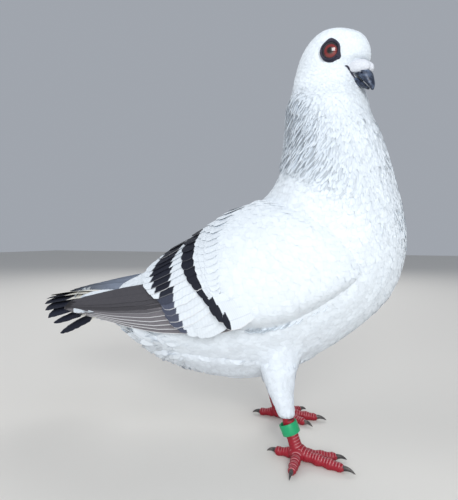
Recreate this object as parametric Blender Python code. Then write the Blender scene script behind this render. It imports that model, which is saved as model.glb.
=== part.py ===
import math
import random

import bmesh
import bpy
import numpy as np
from mathutils import Matrix, Vector

# A standing damascene pigeon, life size, in metres. +X is the way the body faces, +Y is the bird's
# left and +Z is up. While it is modelled, the point midway between its feet is the zero of X and Y.

GAP = 0.0003  # between neighbouring nodes
SEGMENTS = 24  # round the body, neck and head
RINGS_PER_SPAN = 2  # rings for each span between two stations
TWIST_X = 0.0255  # the upright line that the neck and head turn about
HEAD_TURN = 28.0  # degrees, to the bird's right

# Cross-sections of torso, neck and head: back (x, z), front or belly (x, z), half width, turn to the
# right in degrees. They are seen from the side, before the turn.
STATIONS = [
    (-0.1160, 0.0900, -0.1130, 0.0620, 0.0190, 0.0),
    (-0.1000, 0.0975, -0.0970, 0.0500, 0.0260, 0.0),
    (-0.0795, 0.1080, -0.0770, 0.0420, 0.0325, 0.0),
    (-0.0595, 0.1185, -0.0550, 0.0355, 0.0370, 0.0),
    (-0.0415, 0.1285, -0.0300, 0.0325, 0.0405, 0.0),
    (-0.0265, 0.1370, -0.0050, 0.0385, 0.0425, 0.0),
    (-0.0155, 0.1437, 0.0180, 0.0500, 0.0435, 0.0),
    (-0.0092, 0.1492, 0.0418, 0.0680, 0.0445, 0.0),
    (-0.0055, 0.1550, 0.0588, 0.0860, 0.0450, 0.0),
    (-0.0035, 0.1610, 0.0668, 0.1060, 0.0440, 0.0),
    (-0.0020, 0.1680, 0.0677, 0.1260, 0.0410, 0.0),
    (-0.0010, 0.1750, 0.0640, 0.1460, 0.0360, 3.0),
    (-0.0005, 0.1830, 0.0592, 0.1650, 0.0310, 8.0),
    (-0.0005, 0.1920, 0.0540, 0.1810, 0.0265, 15.0),
    (0.0000, 0.2010, 0.0490, 0.1910, 0.0228, 22.0),
    (0.0010, 0.2070, 0.0442, 0.1990, 0.0198, HEAD_TURN),
    (0.0018, 0.2125, 0.0420, 0.2055, 0.0180, HEAD_TURN),
    (0.0030, 0.2175, 0.0440, 0.2120, 0.0172, HEAD_TURN),
    (0.0045, 0.2225, 0.0485, 0.2175, 0.0169, HEAD_TURN),
    (0.0065, 0.2270, 0.0493, 0.2230, 0.0164, HEAD_TURN),
    (0.0095, 0.2312, 0.0480, 0.2285, 0.0152, HEAD_TURN),
    (0.0137, 0.2350, 0.0443, 0.2338, 0.0130, HEAD_TURN),
    (0.0190, 0.2380, 0.0385, 0.2376, 0.0095, HEAD_TURN),
    (0.0250, 0.2398, 0.0325, 0.2398, 0.0045, HEAD_TURN),
]
NECK_STATION = 10.5  # where the neck starts
HEAD_STATION = 14.5  # where the head starts

# The outer face of a folded wing, by the same kind of sections, carried on past the rump to its tip
WING_STATIONS = [
    (-0.1950, 0.0820, -0.1880, 0.0560, 0.0180),
    (-0.1700, 0.0880, -0.1620, 0.0530, 0.0220),
    (-0.1430, 0.0945, -0.1340, 0.0490, 0.0260),
    (-0.1180, 0.1010, -0.1100, 0.0440, 0.0300),
    (-0.1000, 0.1065, -0.0920, 0.0400, 0.0350),
    (-0.0810, 0.1140, -0.0720, 0.0360, 0.0405),
    (-0.0610, 0.1240, -0.0520, 0.0330, 0.0450),
    (-0.0430, 0.1335, -0.0280, 0.0310, 0.0485),
    (-0.0275, 0.1415, -0.0030, 0.0380, 0.0515),
    (-0.0160, 0.1475, 0.0200, 0.0510, 0.0520),
    (-0.0095, 0.1525, 0.0438, 0.0690, 0.0520),
    (-0.0055, 0.1575, 0.0608, 0.0870, 0.0510),
    (-0.0035, 0.1630, 0.0688, 0.1070, 0.0490),
    (-0.0020, 0.1700, 0.0692, 0.1270, 0.0460),
]
WING_TOP_Y = 0.009  # how far each wing's upper edge stays from the middle of the back

# Edges and feather rows of a wing in side view, (x, z), each from the back down to the lower edge
WING_FRONT = [(-0.012, 0.1480), (0.010, 0.1460), (0.027, 0.1400), (0.040, 0.1300), (0.048, 0.1180)]
WING_BELLY = [(-0.020, 0.0660), (0.004, 0.0645), (0.027, 0.0735), (0.040, 0.0840), (0.047, 0.0990)]
SHELL_REAR = [(-0.035, 0.1368), (-0.040, 0.1200), (-0.035, 0.1030), (-0.028, 0.0870), (-0.018, 0.0680)]
COVERT_TIPS = [(-0.050, 0.1285), (-0.0565, 0.1150), (-0.052, 0.1040), (-0.044, 0.0955), (-0.032, 0.0855),
               (-0.021, 0.0765)]
SECONDARY_TIPS = [(-0.076, 0.1135), (-0.083, 0.1040), (-0.084, 0.0960), (-0.077, 0.0895),
                  (-0.066, 0.0835), (-0.060, 0.0740), (-0.046, 0.0690)]
PRIMARY_TIPS = {
    "right": [(-0.149, 0.0735), (-0.154, 0.0712), (-0.156, 0.0692), (-0.154, 0.0672)],
    "left": [(-0.146, 0.0890), (-0.166, 0.0855), (-0.178, 0.0825), (-0.176, 0.0795)],
}
PRIMARY_MIDDLES = {
    "right": [(-0.096, 0.0845), (-0.096, 0.0780), (-0.093, 0.0715), (-0.086, 0.0655)],
    "left": [(-0.096, 0.0960), (-0.100, 0.0890), (-0.100, 0.0810), (-0.092, 0.0720)],
}
PRIMARY_ROOTS = [(-0.030, 0.0980), (-0.030, 0.0900), (-0.026, 0.0800), (-0.018, 0.0710)]

# Rows of a wing: how many feathers, half width, depths of root, middle and tip under the outer face
COVERTS = (8, 0.0060, (0.0021, 0.0007, 0.0007))
SECONDARIES = (9, 0.0068, (0.0026, 0.0026, 0.0018))
PRIMARIES = (6, 0.0066, (0.0042, 0.0038, 0.0025))
PRIMARY_STEP = 0.0005  # how much deeper the tip of each lower primary lies
VANE_THICK = 0.0006
TILT_SCATTER = 1.0  # degrees, up or down
LENGTH_SCATTER = 0.02  # share of a feather's length, longer or shorter
SHINGLE_TILT = 7.0  # degrees that each vane leans, so that it lies over the next one's upper edge
SHELL_CORE = 0.84  # of the way out to the wing's outer face, where its solid starts inside the torso
SHELL_RIM = 0.72  # of the rest of the way, for the outer face along the arm's thinned edges
SHELL_EDGE = 0.16  # share of the arm's width that thins towards its lower or front edge

# Outlines of a feather's web: share of its length from the root, share of its full half width
VANE_OUTLINE = ((0.0, 0.60), (0.50, 1.0), (0.85, 0.86), (1.0, 0.25))
PRIMARY_OUTLINE = ((0.0, 0.80), (0.45, 1.0), (0.82, 0.68), (1.0, 0.18))
RECTRIX_OUTLINE = ((0.0, 0.45), (0.40, 0.82), (0.90, 1.0), (1.0, 0.50))
COVERT_OUTLINE = ((0.0, 0.90), (0.70, 1.0), (1.0, 0.35))

TAIL_COUNT = 12
TAIL_ROOT = (-0.1220, 0.0135, 0.0815, 0.0070)  # x, half width, height at the middle, drop at the side
TAIL_TIP = (-0.1850, 0.0280, 0.0755, 0.0190)
TAIL_ROUNDING = 0.036  # how much shorter the outermost feather reaches
TAIL_WIDTH = 0.0072  # half width of one feather
TAIL_COVERTS = 6
# Rings of the tail's root: how far behind the torso, share of its width and of its height, rise
TAIL_STEM = [
    (0.0, 1.0, 1.0, 0.0), (0.010, 1.02, 0.86, 0.0005), (0.022, 1.0, 0.6, 0.0015), (0.030, 0.8, 0.35, 0.002),
]

EYE_PLACE = (0.0112, 0.0150, 0.2224)  # on the head's side: ahead of the turning line, aside, height
EYE_RADIUS = 0.0063
EYE_SINK = 0.0041  # how far the ball's middle lies inside that place
EYE_FORWARD = 21.0  # degrees that each eye looks forward of straight aside
LID_OPENING = 0.0043
LID_HALF_WIDTH = 0.0057
LID_HALF_HEIGHT = 0.0065
LID_DEPTH = 0.0012  # of the lids' seat in the head
LID_BOW = 0.046  # twice the radius of the head's side

# Beak sections: top (ahead, height), bottom (ahead, height), half width, from inside the head outward
BEAK_UPPER = [
    (0.0172, 0.2166, 0.0125, 0.2150, 0.0054),
    (0.0222, 0.2132, 0.0160, 0.2112, 0.0050),
    (0.0257, 0.2097, 0.0190, 0.2080, 0.0046),
    (0.0270, 0.2061, 0.0217, 0.2051, 0.0037),
    (0.0276, 0.2026, 0.0243, 0.2022, 0.0026),
    (0.0273, 0.1998, 0.0262, 0.1994, 0.0009),
]
BEAK_LOWER = [
    (0.0128, 0.2142, 0.0103, 0.2108, 0.0046),
    (0.0160, 0.2107, 0.0137, 0.2076, 0.0044),
    (0.0190, 0.2076, 0.0171, 0.2048, 0.0038),
    (0.0217, 0.2047, 0.0203, 0.2024, 0.0030),
    (0.0243, 0.2018, 0.0236, 0.2004, 0.0017),
]
# A lobe of the cere over the beak's root: ahead, aside, height, then its three radii
CERE_LOBE = (0.0204, 0.0036, 0.2130, 0.0064, 0.0027, 0.0033)
CERE_TURN = 28.0  # degrees that a lobe's rear turns outward
CERE_SLOPE = 8.0  # degrees that a lobe points down
BEAK_SLOPE = 44.0  # degrees that the beak points down
NOSTRIL = (0.0232, 0.0034, 0.2086, 0.0028, 0.0009, 0.0006)

FOOT_X = {"right": 0.0123, "left": -0.0123}
FOOT_Y = 0.0252
BALL_HEIGHT = 0.0052
FOOT_HEADING = {"right": 10.0, "left": -8.0}  # degrees to the right of straight ahead
# Toes: degrees outward of the foot's heading, length, radius at the root, radius at the end, claw
TOES = {
    "inner": (-28.0, 0.0210, 0.0033, 0.0025, 0.0050),
    "middle": (0.0, 0.0255, 0.0035, 0.0026, 0.0055),
    "outer": (42.0, 0.0180, 0.0033, 0.0024, 0.0048),
    "hind": (176.0, 0.0135, 0.0031, 0.0024, 0.0048),
}
OUTER_SPREAD = {"right": 36.0, "left": 0.0}  # further spread of the outer toe
SHANK_TOP = (-0.0062, 0.0, 0.0202)  # from the ball of the foot: back, aside, up to this height
SHANK_RADIUS = 0.0031
BAND_INNER = 0.0041
BAND_OUTER = 0.0050
BAND_HEIGHT = 0.0060
# Thigh sections from inside the belly down: ahead of the shank's top, inward, height, radii along x, y
THIGH = [
    (-0.0020, 0.0090, 0.0740, 0.0150, 0.0090),
    (-0.0045, 0.0040, 0.0590, 0.0142, 0.0115),
    (-0.0050, 0.0010, 0.0460, 0.0102, 0.0098),
    (-0.0035, 0.0000, 0.0350, 0.0073, 0.0072),
    (-0.0012, 0.0000, 0.0270, 0.0055, 0.0054),
    (0.0000, 0.0000, 0.0214, 0.0045, 0.0044),
]

random.seed(11)


def clear_scene():
    for old in list(bpy.data.objects):
        bpy.data.objects.remove(old, do_unlink=True)


def material(name, colour, roughness):
    made = bpy.data.materials.new(name)
    made.use_nodes = True
    shader = made.node_tree.nodes["Principled BSDF"]
    shader.inputs["Base Color"].default_value = (*colour, 1.0)
    shader.inputs["Roughness"].default_value = roughness
    made.diffuse_color = (*colour, 1.0)
    return made


def solid(name, points, faces, finish):
    """A closed mesh object, its faces in triangles and pointing out."""
    mesh = bpy.data.meshes.new(name)
    mesh.from_pydata([tuple(map(float, point)) for point in points], [], faces)
    shape = bmesh.new()
    shape.from_mesh(mesh)
    bmesh.ops.triangulate(shape, faces=shape.faces)
    if shape.calc_volume(signed=True) < 0:
        bmesh.ops.reverse_faces(shape, faces=shape.faces)
    shape.to_mesh(mesh)
    shape.free()
    mesh.materials.append(finish)
    made = bpy.data.objects.new(name, mesh)
    bpy.context.scene.collection.objects.link(made)
    return made


def smooth_row(rows, place):
    """The Catmull-Rom curve through rows at a place counted in rows, past either end in a line."""
    rows = np.asarray(rows, float)
    last = len(rows) - 1
    place = min(max(place, 0.0), float(last))
    start = min(int(place), last - 1)
    part = place - start
    before = rows[start - 1] if start > 0 else 2 * rows[0] - rows[1]
    after = rows[start + 2] if start + 2 <= last else 2 * rows[last] - rows[last - 1]
    one, two = rows[start], rows[start + 1]
    return 0.5 * (
        2 * one
        + (two - before) * part
        + (2 * before - 5 * one + 4 * two - after) * part**2
        + (3 * one - before - 3 * two + after) * part**3
    )


def along(rows, share):
    return smooth_row(rows, share * (len(rows) - 1))


def turned(point, degrees):
    """A point turned to the bird's right about the upright line of the neck."""
    turn = math.radians(degrees)
    ahead = point[0] - TWIST_X
    return np.array([
        TWIST_X + ahead * math.cos(turn) + point[1] * math.sin(turn),
        -ahead * math.sin(turn) + point[1] * math.cos(turn),
        point[2],
    ])


def section_point(station, angle):
    """A point of a section: angle 0 is the back, 90 degrees the right side, 180 the belly."""
    back_x, back_z, front_x, front_z, half_width = station[:5]
    centre = np.array([(back_x + front_x) / 2, 0.0, (back_z + front_z) / 2])
    up = np.array([(back_x - front_x) / 2, 0.0, (back_z - front_z) / 2])
    side = np.array([0.0, -half_width, 0.0])
    point = centre + up * math.cos(angle) + side * math.sin(angle)
    return turned(point, station[5]) if len(station) > 5 else point


def section(place):
    station = smooth_row(STATIONS, place)
    step = 2 * math.pi / SEGMENTS
    return [section_point(station, step * index) for index in range(SEGMENTS)]


def loft(name, rings, finish, tip=None):
    """A closed body through rings of as many points each, flat at its ends or drawn to a tip."""
    points = [point for ring in rings for point in ring]
    count = len(rings[0])
    faces = []
    for row in range(len(rings) - 1):
        for index in range(count):
            beside = (index + 1) % count
            low, high = row * count, (row + 1) * count
            faces.append((low + index, low + beside, high + beside, high + index))
    faces.append(tuple(reversed(range(count))))
    top = (len(rings) - 1) * count
    if tip is None:
        faces.append(tuple(range(top, top + count)))
    else:
        points.append(tip)
        for index in range(count):
            faces.append((top + index, top + (index + 1) % count, len(points) - 1))
    return solid(name, points, faces, finish)


def ball(name, centre, radii, finish, across=12, rows=8):
    rings = []
    for row in range(1, rows):
        tilt = math.pi * row / rows
        rings.append([
            np.array(centre) + np.array([
                radii[0] * math.sin(tilt) * math.cos(2 * math.pi * step / across),
                radii[1] * math.sin(tilt) * math.sin(2 * math.pi * step / across),
                -radii[2] * math.cos(tilt),
            ])
            for step in range(across)
        ])
    return loft(name, rings, finish, tip=np.array(centre) + np.array([0, 0, radii[2]]))


def tube(name, centres, radii, finish, sides, upright=(0.0, 0.0, 1.0)):
    """A closed body round a line of centres, with a width and a height radius at each of them."""
    centres = [np.asarray(centre, float) for centre in centres]
    rings = []
    for index, centre in enumerate(centres):
        ahead = centres[min(index + 1, len(centres) - 1)] - centres[max(index - 1, 0)]
        ahead /= np.linalg.norm(ahead)
        across = np.cross(ahead, upright)
        across /= np.linalg.norm(across)
        above = np.cross(across, ahead)
        wide, high = radii[index]
        rings.append([
            centre
            + across * wide * math.cos(2 * math.pi * (step + 0.5) / sides)
            + above * high * math.sin(2 * math.pi * (step + 0.5) / sides)
            for step in range(sides)
        ])
    return loft(name, rings, finish)


def vane(path, across, half_width, thick, finish, outline=VANE_OUTLINE, grow=0.0):
    """One feather's web: a thin strip along a path, both of its faces cut alike into triangles."""
    corners = []
    for share, width in outline:
        centre = along(path, share)
        ahead = along(path, min(share + 0.05, 1.0)) - along(path, max(share - 0.05, 0.0))
        ahead = ahead / np.linalg.norm(ahead)
        side = along(across, share)
        side = side - ahead * np.dot(side, ahead)
        side = side / np.linalg.norm(side)
        above = np.cross(side, ahead)
        centre = centre + ahead * grow * (2 * share - 1)
        reach, high = half_width * width + grow, thick / 2 + grow
        for aside, lift in ((-reach, high), (reach, high), (reach, -high), (-reach, -high)):
            corners.append(centre + side * aside + above * lift)
    faces = [(0, 1, 2), (0, 2, 3)]
    for row in range(len(outline) - 1):
        low, high = 4 * row, 4 * row + 4
        faces += [(low, high, high + 1), (low, high + 1, low + 1)]
        faces += [(low + 3, high + 2, high + 3), (low + 3, low + 2, high + 2)]
        faces += [(low + 1, high + 1, high + 2), (low + 1, high + 2, low + 2)]
        faces += [(low + 3, high + 3, high), (low + 3, high, low)]
    last = 4 * (len(outline) - 1)
    faces += [(last, last + 2, last + 1), (last, last + 3, last + 2)]
    return solid("vane", corners, faces, finish)


def evaluated(shape):
    """The object's mesh with its modifiers applied."""
    graph = bpy.context.evaluated_depsgraph_get()
    graph.update()
    return bpy.data.meshes.new_from_object(shape.evaluated_get(graph))


def drop(shape):
    bpy.data.objects.remove(shape, do_unlink=True)


def keep_largest(shape):
    """Keeps the largest closed surface of an object's mesh."""
    surface = bmesh.new()
    surface.from_mesh(shape.data)
    bmesh.ops.triangulate(surface, faces=surface.faces)
    waiting = set(surface.faces)
    groups = []
    while waiting:
        group = [waiting.pop()]
        for face in group:
            for edge in face.edges:
                for beside in edge.link_faces:
                    if beside in waiting:
                        waiting.remove(beside)
                        group.append(beside)
        groups.append(group)

    def held(group):
        return abs(sum(
            face.verts[0].co.dot(face.verts[1].co.cross(face.verts[2].co)) for face in group
        ))

    groups.sort(key=held, reverse=True)
    for group in groups[1:]:
        bmesh.ops.delete(surface, geom=group, context="FACES")
    surface.to_mesh(shape.data)
    surface.free()


def boolean(shape, operation, solver, other=None, group=None):
    step = shape.modifiers.new(operation, "BOOLEAN")
    step.operation = operation
    step.solver = solver
    if group is None:
        step.object = other
    else:
        step.operand_type = "COLLECTION"
        step.collection = group
    mesh = evaluated(shape)
    shape.modifiers.clear()
    shape.data = mesh


def fuse(shape, pieces, solver="MANIFOLD"):
    """Joins closed pieces to an object by one union and keeps its largest closed surface."""
    group = bpy.data.collections.new("pieces")
    bpy.context.scene.collection.children.link(group)
    for piece in pieces:
        bpy.context.scene.collection.objects.unlink(piece)
        group.objects.link(piece)
    boolean(shape, "UNION", solver, group=group)
    for piece in pieces:
        drop(piece)
    bpy.data.collections.remove(group)
    keep_largest(shape)


def cut_clear(shape, neighbours, gap=GAP, solver="MANIFOLD"):
    """Cuts an object back where its neighbours, grown by the gap, reach into it."""
    for neighbour in neighbours:
        grown = neighbour.copy()
        grown.data = neighbour.data.copy()
        bpy.context.scene.collection.objects.link(grown)
        surface = bmesh.new()
        surface.from_mesh(grown.data)
        surface.normal_update()
        moves = [(point, point.normal * gap) for point in surface.verts]
        for point, move in moves:
            point.co += move
        surface.to_mesh(grown.data)
        surface.free()
        boolean(shape, "DIFFERENCE", solver, other=grown)
        drop(grown)
    keep_largest(shape)


def ring_normal(ring):
    normal = np.cross(ring[SEGMENTS // 4] - ring[0], ring[SEGMENTS // 2] - ring[0])
    return normal / np.linalg.norm(normal)


def trunk_part(name, first, last, finish, lifted, tip=None):
    """A length of the trunk between two stations; a lifted start leaves the gap to the part below."""
    count = max(2, round((last - first) * RINGS_PER_SPAN) + 1)
    rings = [section(first + (last - first) * index / (count - 1)) for index in range(count)]
    if lifted:
        away = ring_normal(rings[0])
        if np.dot(away, np.mean(rings[1], axis=0) - np.mean(rings[0], axis=0)) < 0:
            away = -away
        rings[0] = [point + away * GAP for point in rings[0]]
    return loft(name, rings, finish, tip=tip)


def head_place(ahead, aside, height):
    """A place on the head, told before the head is turned."""
    return turned(np.array([TWIST_X + ahead, aside, height]), HEAD_TURN)


def wing_point(place, angle, depth=0.0):
    """A point on the right wing's outer face, or a depth under it, and the way out of that face."""
    small = 0.01
    here = section_point(smooth_row(WING_STATIONS, place), angle)
    down = section_point(smooth_row(WING_STATIONS, place), angle + small) - here
    ahead = section_point(smooth_row(WING_STATIONS, place + small), angle) - here
    if place + small > len(WING_STATIONS) - 1:
        ahead = here - section_point(smooth_row(WING_STATIONS, place - small), angle)
    out = np.cross(ahead, down)
    out = out / np.linalg.norm(out)
    if out[1] > 0:
        out = -out
    return here - out * depth, out


def on_wing(x, z):
    """The station and the angle of the wing's outer face at a place given in side view."""
    low, high = 0.0, len(WING_STATIONS) - 1.0
    for _ in range(40):
        middle = (low + high) / 2
        back_x, back_z, front_x, front_z = smooth_row(WING_STATIONS, middle)[:4]
        ahead = (x - back_x) * (back_z - front_z) + (z - back_z) * (front_x - back_x)
        low, high = (middle, high) if ahead > 0 else (low, middle)
    back_x, back_z, front_x, front_z, half_width = smooth_row(WING_STATIONS, low)
    length = (front_x - back_x) ** 2 + (front_z - back_z) ** 2
    share = ((x - back_x) * (front_x - back_x) + (z - back_z) * (front_z - back_z)) / length
    angle = math.acos(min(max(1 - 2 * share, -1.0), 1.0))
    return np.array([low, max(angle, math.asin(WING_TOP_Y / half_width))])


def section_middle(place):
    back_x, back_z, front_x, front_z = smooth_row(WING_STATIONS, place)[:4]
    return np.array([(back_x + front_x) / 2, 0.0, (back_z + front_z) / 2])


def wing_row(points):
    return [on_wing(x, z) for x, z in points]


def wing_shell(side, finish):
    """The feathered arm of a folded wing, from its bend back to the roots of the feather rows."""
    rear, front = wing_row(SHELL_REAR), wing_row(WING_FRONT)
    belly = wing_row(WING_BELLY)
    top = [rear[0], (rear[0] + front[0]) / 2, front[0]]
    columns, rows = 7, 10
    outer, inner = [], []
    for column in range(columns):
        u = column / (columns - 1)
        for row in range(rows):
            v = row / (rows - 1)
            sides = (1 - u) * along(rear, v) + u * along(front, v)
            ends = (1 - v) * along(top, u) + v * along(belly, u)
            corners = (
                (1 - u) * (1 - v) * rear[0] + u * (1 - v) * front[0]
                + (1 - u) * v * belly[0] + u * v * belly[-1]
            )
            place, angle = sides + ends - corners
            face = wing_point(place, angle)[0]
            edge = min(v + SHELL_EDGE, 1 - v, 1 - u) / SHELL_EDGE
            rise = SHELL_RIM + (1 - SHELL_RIM) * math.sin(min(edge, 1.0) * math.pi / 2)
            core = section_middle(place)
            outer.append(core + (face - core) * (SHELL_CORE + (1 - SHELL_CORE) * rise))
            inner.append(core + (face - core) * SHELL_CORE)
    return patch("shell", outer, inner, columns, rows, side, finish)


def patch(name, outer, inner, columns, rows, side, finish):
    """A closed plate between two grids of points."""
    faces = []
    size = columns * rows
    for column in range(columns - 1):
        for row in range(rows - 1):
            one = column * rows + row
            corners = (one, one + rows, one + rows + 1, one + 1)
            faces.append(corners)
            faces.append(tuple(size + corner for corner in reversed(corners)))
    rim = [column * rows for column in range(columns)]
    rim += [(columns - 1) * rows + row for row in range(1, rows)]
    rim += [column * rows + rows - 1 for column in range(columns - 2, -1, -1)]
    rim += [row for row in range(rows - 2, 0, -1)]
    for index, corner in enumerate(rim):
        beside = rim[(index + 1) % len(rim)]
        faces.append((beside, corner, size + corner, size + beside))
    points = [mirrored(point, side) for point in outer + inner]
    return solid(name, points, faces, finish)


def mirrored(point, side):
    point = np.asarray(point, float)
    return point if side == "right" else point * np.array([1.0, -1.0, 1.0])


def wing_vane(side, places, depths, half_width, finish, outline=VANE_OUTLINE):
    """One feather of a wing, through places on its outer face, each with a depth under it."""
    steps = 6
    places = list(places)
    places[-1] = places[-1] + (places[-1] - places[-2]) * random.uniform(-LENGTH_SCATTER, LENGTH_SCATTER)
    path, across = [], []
    for index in range(steps):
        share = index / (steps - 1)
        place, angle = along(places, share)
        point, out = wing_point(place, angle, float(along(np.array(depths)[:, None], share)[0]))
        path.append(point)
        across.append(out)
    sides = []
    lean = math.radians(SHINGLE_TILT + random.uniform(-TILT_SCATTER, TILT_SCATTER))
    for index in range(steps):
        ahead = path[min(index + 1, steps - 1)] - path[max(index - 1, 0)]
        ahead = ahead / np.linalg.norm(ahead)
        down = np.cross(ahead, across[index])
        down = down / np.linalg.norm(down)
        if down[2] > 0:
            down = -down
        sides.append(down * math.cos(lean) + across[index] * math.sin(lean))
    path = [mirrored(point, side) for point in path]
    sides = [mirrored(way, side) for way in sides]
    return vane(path, sides, half_width, VANE_THICK, finish, outline)


def wing(side, torso, finish):
    """A folded wing: its feathered arm with the rows of coverts, secondaries and primaries."""
    shell = wing_shell(side, finish)
    pieces = []
    rear = wing_row(SHELL_REAR)
    for row, row_tips, behind in ((COVERTS, COVERT_TIPS, 0.30), (SECONDARIES, SECONDARY_TIPS, 0.25)):
        count, half_width, depths = row
        tips = wing_row(row_tips)
        for index in range(count):
            share = index / (count - 1)
            tip, start = along(tips, share), along(rear, 0.04 + 0.82 * share)
            root = start + (start - tip) * behind
            pieces.append(wing_vane(side, [root, (root + tip) / 2, tip], depths, half_width, finish))
    count, half_width, (root_depth, middle_depth, tip_depth) = PRIMARIES
    roots, middles, tips = (wing_row(row) for row in (PRIMARY_ROOTS, PRIMARY_MIDDLES[side], PRIMARY_TIPS[side]))
    for index in range(count):
        share = index / (count - 1)
        places = [along(roots, share), along(middles, share), along(tips, share)]
        depths = [root_depth, middle_depth, tip_depth + PRIMARY_STEP * index]
        pieces.append(wing_vane(side, places, depths, half_width, finish, PRIMARY_OUTLINE))
    fuse(shell, pieces)
    cut_clear(shell, [torso])
    room = tail(finish, GAP)
    boolean(shell, "DIFFERENCE", "MANIFOLD", other=room)
    drop(room)
    keep_largest(shell)
    shell.name = "wing_" + side
    return shell


def tail_vane(share, finish, grow):
    """One tail feather; share runs from -1 at the bird's right edge to 1 at its left."""
    side = abs(share)
    root = np.array([TAIL_ROOT[0], TAIL_ROOT[1] * share, TAIL_ROOT[2] - TAIL_ROOT[3] * side**2])
    tip = np.array([
        TAIL_TIP[0] + TAIL_ROUNDING * side**1.8,
        TAIL_TIP[1] * share,
        TAIL_TIP[2] - TAIL_TIP[3] * side**1.6,
    ])
    slope = math.atan(1.6 * TAIL_TIP[3] * side**0.6 / TAIL_TIP[1])
    outward = 1.0 if share > 0 else -1.0
    path, across = [], []
    for index in range(4):
        part = index / 3
        roll = slope * (0.5 + 0.5 * part) - math.radians(SHINGLE_TILT)
        bow = 0.003 * math.sin(math.pi * part) * (1 - side)
        lift = 0.0010 if 0 < share < 0.2 else 0.0
        path.append(root + (tip - root) * part + np.array([0.0, 0.0, bow + lift]))
        across.append(np.array([0.0, outward * math.cos(roll), -math.sin(roll)]))
    return vane(path, across, TAIL_WIDTH, VANE_THICK, finish, RECTRIX_OUTLINE, grow)


def tail_covert(share, above, finish, grow):
    """A short feather over or under the root of the tail."""
    height = 0.0885 - 0.0075 * share**2 if above else 0.0585 + 0.0030 * share**2
    start = np.array([-0.1190, 0.0130 * share, height - (0.0030 if above else -0.0030)])
    reach = -0.0310 + 0.0050 * abs(share) if above else -0.0140
    end = start + np.array([reach, 0.0080 * share, -0.0030 if above else 0.0020])
    roll = math.atan(share * 0.55) * (1 if above else -0.4)
    across = [np.array([0.0, math.cos(roll), -math.sin(roll)])] * 2
    return vane([start, end], across, TAIL_WIDTH * 0.8, VANE_THICK, finish, COVERT_OUTLINE, grow)


def tail(finish, grow=0.0):
    """The tail's root with its twelve feathers, arched like a low roof, and the coverts over them."""
    first = section(0.0)
    centre = np.mean(first, axis=0)
    away = ring_normal(first)
    away = -away if away[0] > 0 else away
    rings = []
    for back, wide, high, sink in TAIL_STEM:
        middle = centre + away * (GAP + back) + np.array([0.0, 0.0, sink])
        ring = []
        for point in first:
            off = (point - centre) * np.array([high, wide, high])
            ring.append(middle + off * (1 + grow / np.linalg.norm(off)))
        rings.append(ring)
    root = loft("tail", rings, finish)
    half = (TAIL_COUNT - 1) / 2
    pieces = [tail_vane((index - half) / half, finish, grow) for index in range(TAIL_COUNT)]
    for index in range(TAIL_COVERTS):
        share = 2 * index / (TAIL_COVERTS - 1) - 1
        pieces.append(tail_covert(share, True, finish, grow))
        pieces.append(tail_covert(share, False, finish, grow))
    fuse(root, pieces)
    return root


def eye_frame(side):
    """The place of an eye on the head, before the head's turn, and the ways out of it and ahead."""
    aside = 1.0 if side == "left" else -1.0
    lean = math.radians(EYE_FORWARD)
    ahead, out, height = EYE_PLACE
    axis = np.array([math.sin(lean), aside * math.cos(lean), 0.0])
    front = np.array([math.cos(lean), -aside * math.sin(lean), 0.0])
    return np.array([ahead, out * aside, height]), axis, front


def eye(side, finish):
    middle, axis, _ = eye_frame(side)
    return ball("eye_" + side, head_place(*(middle - axis * EYE_SINK)), (EYE_RADIUS,) * 3, finish, 14, 9)


def lid_reach(turn):
    """How far the bare skin round the eye reaches: an oval with a peak on top and one low in front."""
    oval = 1 / math.hypot(math.cos(turn) / LID_HALF_WIDTH, math.sin(turn) / LID_HALF_HEIGHT)
    top = 0.0008 * math.exp(-(((turn - math.pi * 0.5) / 0.35) ** 2))
    front = 0.0011 * math.exp(-(((turn - math.pi * 1.78) / 0.28) ** 2))
    return oval + top + front


def eyelids(side, eyeball, finish):
    """Lids and the bare skin round an eye: a bowed ring, let into the head."""
    middle, axis, front = eye_frame(side)
    rings = []
    steps = 20
    for step in range(steps):
        turn = 2 * math.pi * step / steps
        way = front * math.cos(turn) + np.array([0.0, 0.0, 1.0]) * math.sin(turn)
        reach = lid_reach(turn)
        ring = []
        for across, lift in ((LID_OPENING, -LID_DEPTH), (LID_OPENING, 0.0006), (LID_OPENING + 0.0005, 0.0010),
                             (reach - 0.0005, 0.0007), (reach, 0.0001), (reach, -LID_DEPTH)):
            ring.append(head_place(*(middle + way * across + axis * (lift - across**2 / LID_BOW))))
        rings.append(ring)
    points = [point for ring in rings for point in ring]
    size = len(rings[0])
    faces = []
    for step in range(steps):
        for index in range(size):
            one, two = step * size, (step + 1) % steps * size
            beside = (index + 1) % size
            faces.append((one + index, one + beside, two + beside, two + index))
    made = solid("eyelids_" + side, points, faces, finish)
    cut_clear(made, [eyeball])
    return made


def mandible(name, sections, finish, sides=12):
    rings = []
    for top_x, top_z, low_x, low_z, half_width in sections:
        centre = np.array([(top_x + low_x) / 2, 0.0, (top_z + low_z) / 2])
        up = np.array([(top_x - low_x) / 2, 0.0, (top_z - low_z) / 2])
        ring = []
        for step in range(sides):
            turn = 2 * math.pi * step / sides
            place = centre + up * math.cos(turn) + np.array([0.0, half_width * math.sin(turn), 0.0])
            ring.append(head_place(*place))
        rings.append(ring)
    return loft(name, rings, finish)


def placed_ball(name, numbers, aside, turn, slope, finish, across, rows):
    """An oval body on the beak, turned outward and then down."""
    ahead, out, height, along_x, along_y, along_z = numbers
    made = ball(name, (0.0, 0.0, 0.0), (along_x, along_y, along_z), finish, across, rows)
    aim = Matrix.Rotation(math.radians(-HEAD_TURN - turn * aside), 4, "Z")
    aim = aim @ Matrix.Rotation(math.radians(slope), 4, "Y")
    made.data.transform(Matrix.Translation(Vector(head_place(ahead, out * aside, height))) @ aim)
    return made


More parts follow.
